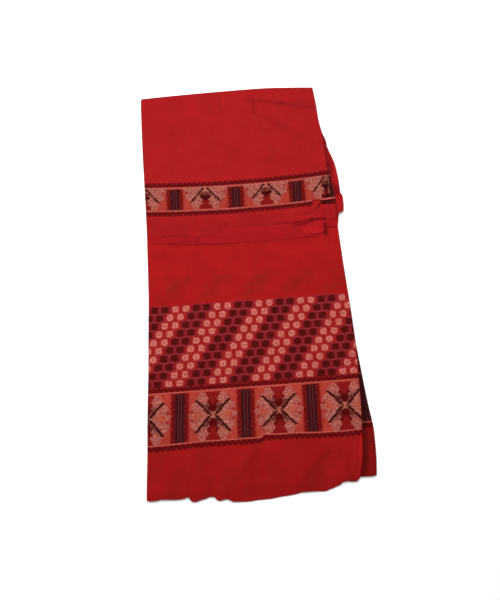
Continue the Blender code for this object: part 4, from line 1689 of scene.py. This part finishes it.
    def upper_ply(self) -> ClothSheet:
        """Trace the body's layer that turns up inside the top fold, under the flap's.

        Returns:
            The layer.
        """
        plan, ends = self.plan, self.ends[0]
        on_body = np.concatenate([np.linspace(0.0, 1.0, self.body_rows), np.ones(self.fold_rows)])[:, None]
        lean = steps(self.fold_rows, math.pi, 0.0)
        stage = np.concatenate([np.full(self.body_rows, math.pi), lean])[:, None]
        x = self.lay_on_body(on_body, ends)
        wave = self.upper_wave * np.sin(x * self.upper_wave_rate)
        start = UNDER_HEM.at("y", x) + self.hem_inset + ends.hem + wave
        reach = self.reach(stage, plan.flap_under, plan.body_plies[0])
        y = start + (plan.fold_start(x) - start) * on_body + reach * np.sin(stage)
        z = np.broadcast_to(plan.fold_middle + reach * np.cos(stage), x.shape)
        middle = np.stack([x, y, z], axis=-1)[::-1]
        weave = np.stack([x, y - self.weave_back], axis=-1)[::-1]
        return ClothSheet(middle, weave, self.thickness)

    def build(self) -> bpy.types.Object:
        """Make every hidden layer, joined in one piece.

        Returns:
            The piece.
        """
        plan = self.plan
        return make_piece(
            "inner_plies",
            self.bottom_ply(),
            self.upper_ply(),
            self.ply(3, plan.body_plies[1], body_from_fold=False),
            self.ply(2, plan.body_plies[2], body_from_fold=False),
            self.ply(1, plan.under, body_from_fold=True),
            self.ply(0, plan.front, body_from_fold=True),
        )


@dataclass(frozen=True)
class Studio:
    """A pale floor, one large soft lamp towards the top fold, and the camera."""

    floor_half: float = 3.0
    floor_tone: float = 0.92
    floor_roughness: float = 0.85
    floor_relief: float = 0.00005
    clouds_per_metre: float = 9.0
    grains_per_metre: float = 420.0
    fill: float = 0.62
    lamp_place: Point = (-0.10, 0.32, 0.92)
    lamp_aim: Point = (-0.06, 0.27, 0.0)
    lamp_side: float = 0.8
    lamp_power: float = 15.4
    camera_place: Point = (-0.0215, -0.3421, 1.1723)
    camera_turn: Point = (14.8225, 0.0, -3.6934)
    lens: float = 42.0
    sensor_width: float = 36.0
    sight: float = 20.0

    def build_floor(self) -> bpy.types.Object:
        """Lay the floor, a square of four corners at height 0.

        Returns:
            The floor.
        """
        half = self.floor_half
        mesh = bpy.data.meshes.new("floor")
        corners = [(-half, -half, 0.0), (half, -half, 0.0), (half, half, 0.0), (-half, half, 0.0)]
        mesh.from_pydata(corners, [], [(0, 1, 2, 3)])
        floor = bpy.data.objects.new("floor", mesh)
        bpy.context.scene.collection.objects.link(floor)
        paint = Paint("pale_floor")
        x, y = paint.split(paint.node("ShaderNodeTexCoord").outputs["Object"])
        cloud = paint.cloudiness(x * self.clouds_per_metre, y * self.clouds_per_metre)
        colour = paint.dim((self.floor_tone,) * 3, 0.985 + cloud * 0.02)
        grain = paint.cloudiness(x * self.grains_per_metre, y * self.grains_per_metre)
        gloss = {"Specular IOR Level": 0.2}
        mesh.materials.append(paint.finish(colour, self.floor_roughness, grain, self.floor_relief, gloss))
        return floor

    def build_light(self) -> None:
        """Hang the lamp and set the even light that comes from all round."""
        lamp = bpy.data.lights.new("soft_lamp", "AREA")
        lamp.shape = "SQUARE"
        lamp.size = self.lamp_side
        lamp.energy = self.lamp_power
        holder = bpy.data.objects.new("soft_lamp", lamp)
        holder.location = self.lamp_place
        away = np.array(self.lamp_place) - np.array(self.lamp_aim)
        tilt = math.acos(away[2] / float(np.linalg.norm(away)))
        heading = math.atan2(away[1], away[0])
        holder.rotation_euler = (0.0, tilt, heading)
        holder.visible_camera = False
        bpy.context.scene.collection.objects.link(holder)
        world = bpy.data.worlds.new("even_light")
        world.use_nodes = True
        background = world.node_tree.nodes["Background"]
        background.inputs["Color"].default_value = (1.0, 1.0, 1.0, 1.0)
        background.inputs["Strength"].default_value = self.fill
        bpy.context.scene.world = world

    def build_camera(self) -> None:
        """Set the camera above the cloth, a little towards the hem."""
        data = bpy.data.cameras.new("camera")
        data.lens = self.lens
        data.sensor_width = self.sensor_width
        data.clip_end = self.sight
        camera = bpy.data.objects.new("camera", data)
        camera.location = self.camera_place
        camera.rotation_euler = tuple(math.radians(turn) for turn in self.camera_turn)
        bpy.context.scene.collection.objects.link(camera)
        bpy.context.scene.camera = camera
        bpy.context.scene.view_settings.view_transform = "Standard"
        bpy.context.scene.view_settings.look = "None"


def main() -> None:
    """Build the folded cloth, the floor, the light and the camera."""
    logging.basicConfig(level=logging.INFO, format="%(message)s")
    plan = FoldPlan()
    studio = Studio()
    floor = studio.build_floor()
    studio.build_light()
    studio.build_camera()
    makers: tuple[tuple[ClothPiece, tuple[str, ...], str], ...] = (
        (InnerPlies(plan), ("body_layers", "flap_layers"), "hidden_cloth"),
        (UnderCloth(plan), ("under_panel",), "under_cloth"),
        (FrontCloth(plan), ("front_panel",), "front_cloth"),
        (FlapUnderCloth(plan), ("flap_under_panel",), "under_cloth"),
        (FlapCloth(plan), ("flap_panel",), "flap_cloth"),
    )
    for maker, nodes, slot in makers:
        piece = maker.build()
        maker.dress(piece)
        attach(piece, "root")
        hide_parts(*nodes)
        log.info("%s: %d faces", piece.name, len(piece.data.polygons))


if __name__ == "__main__":
    main()
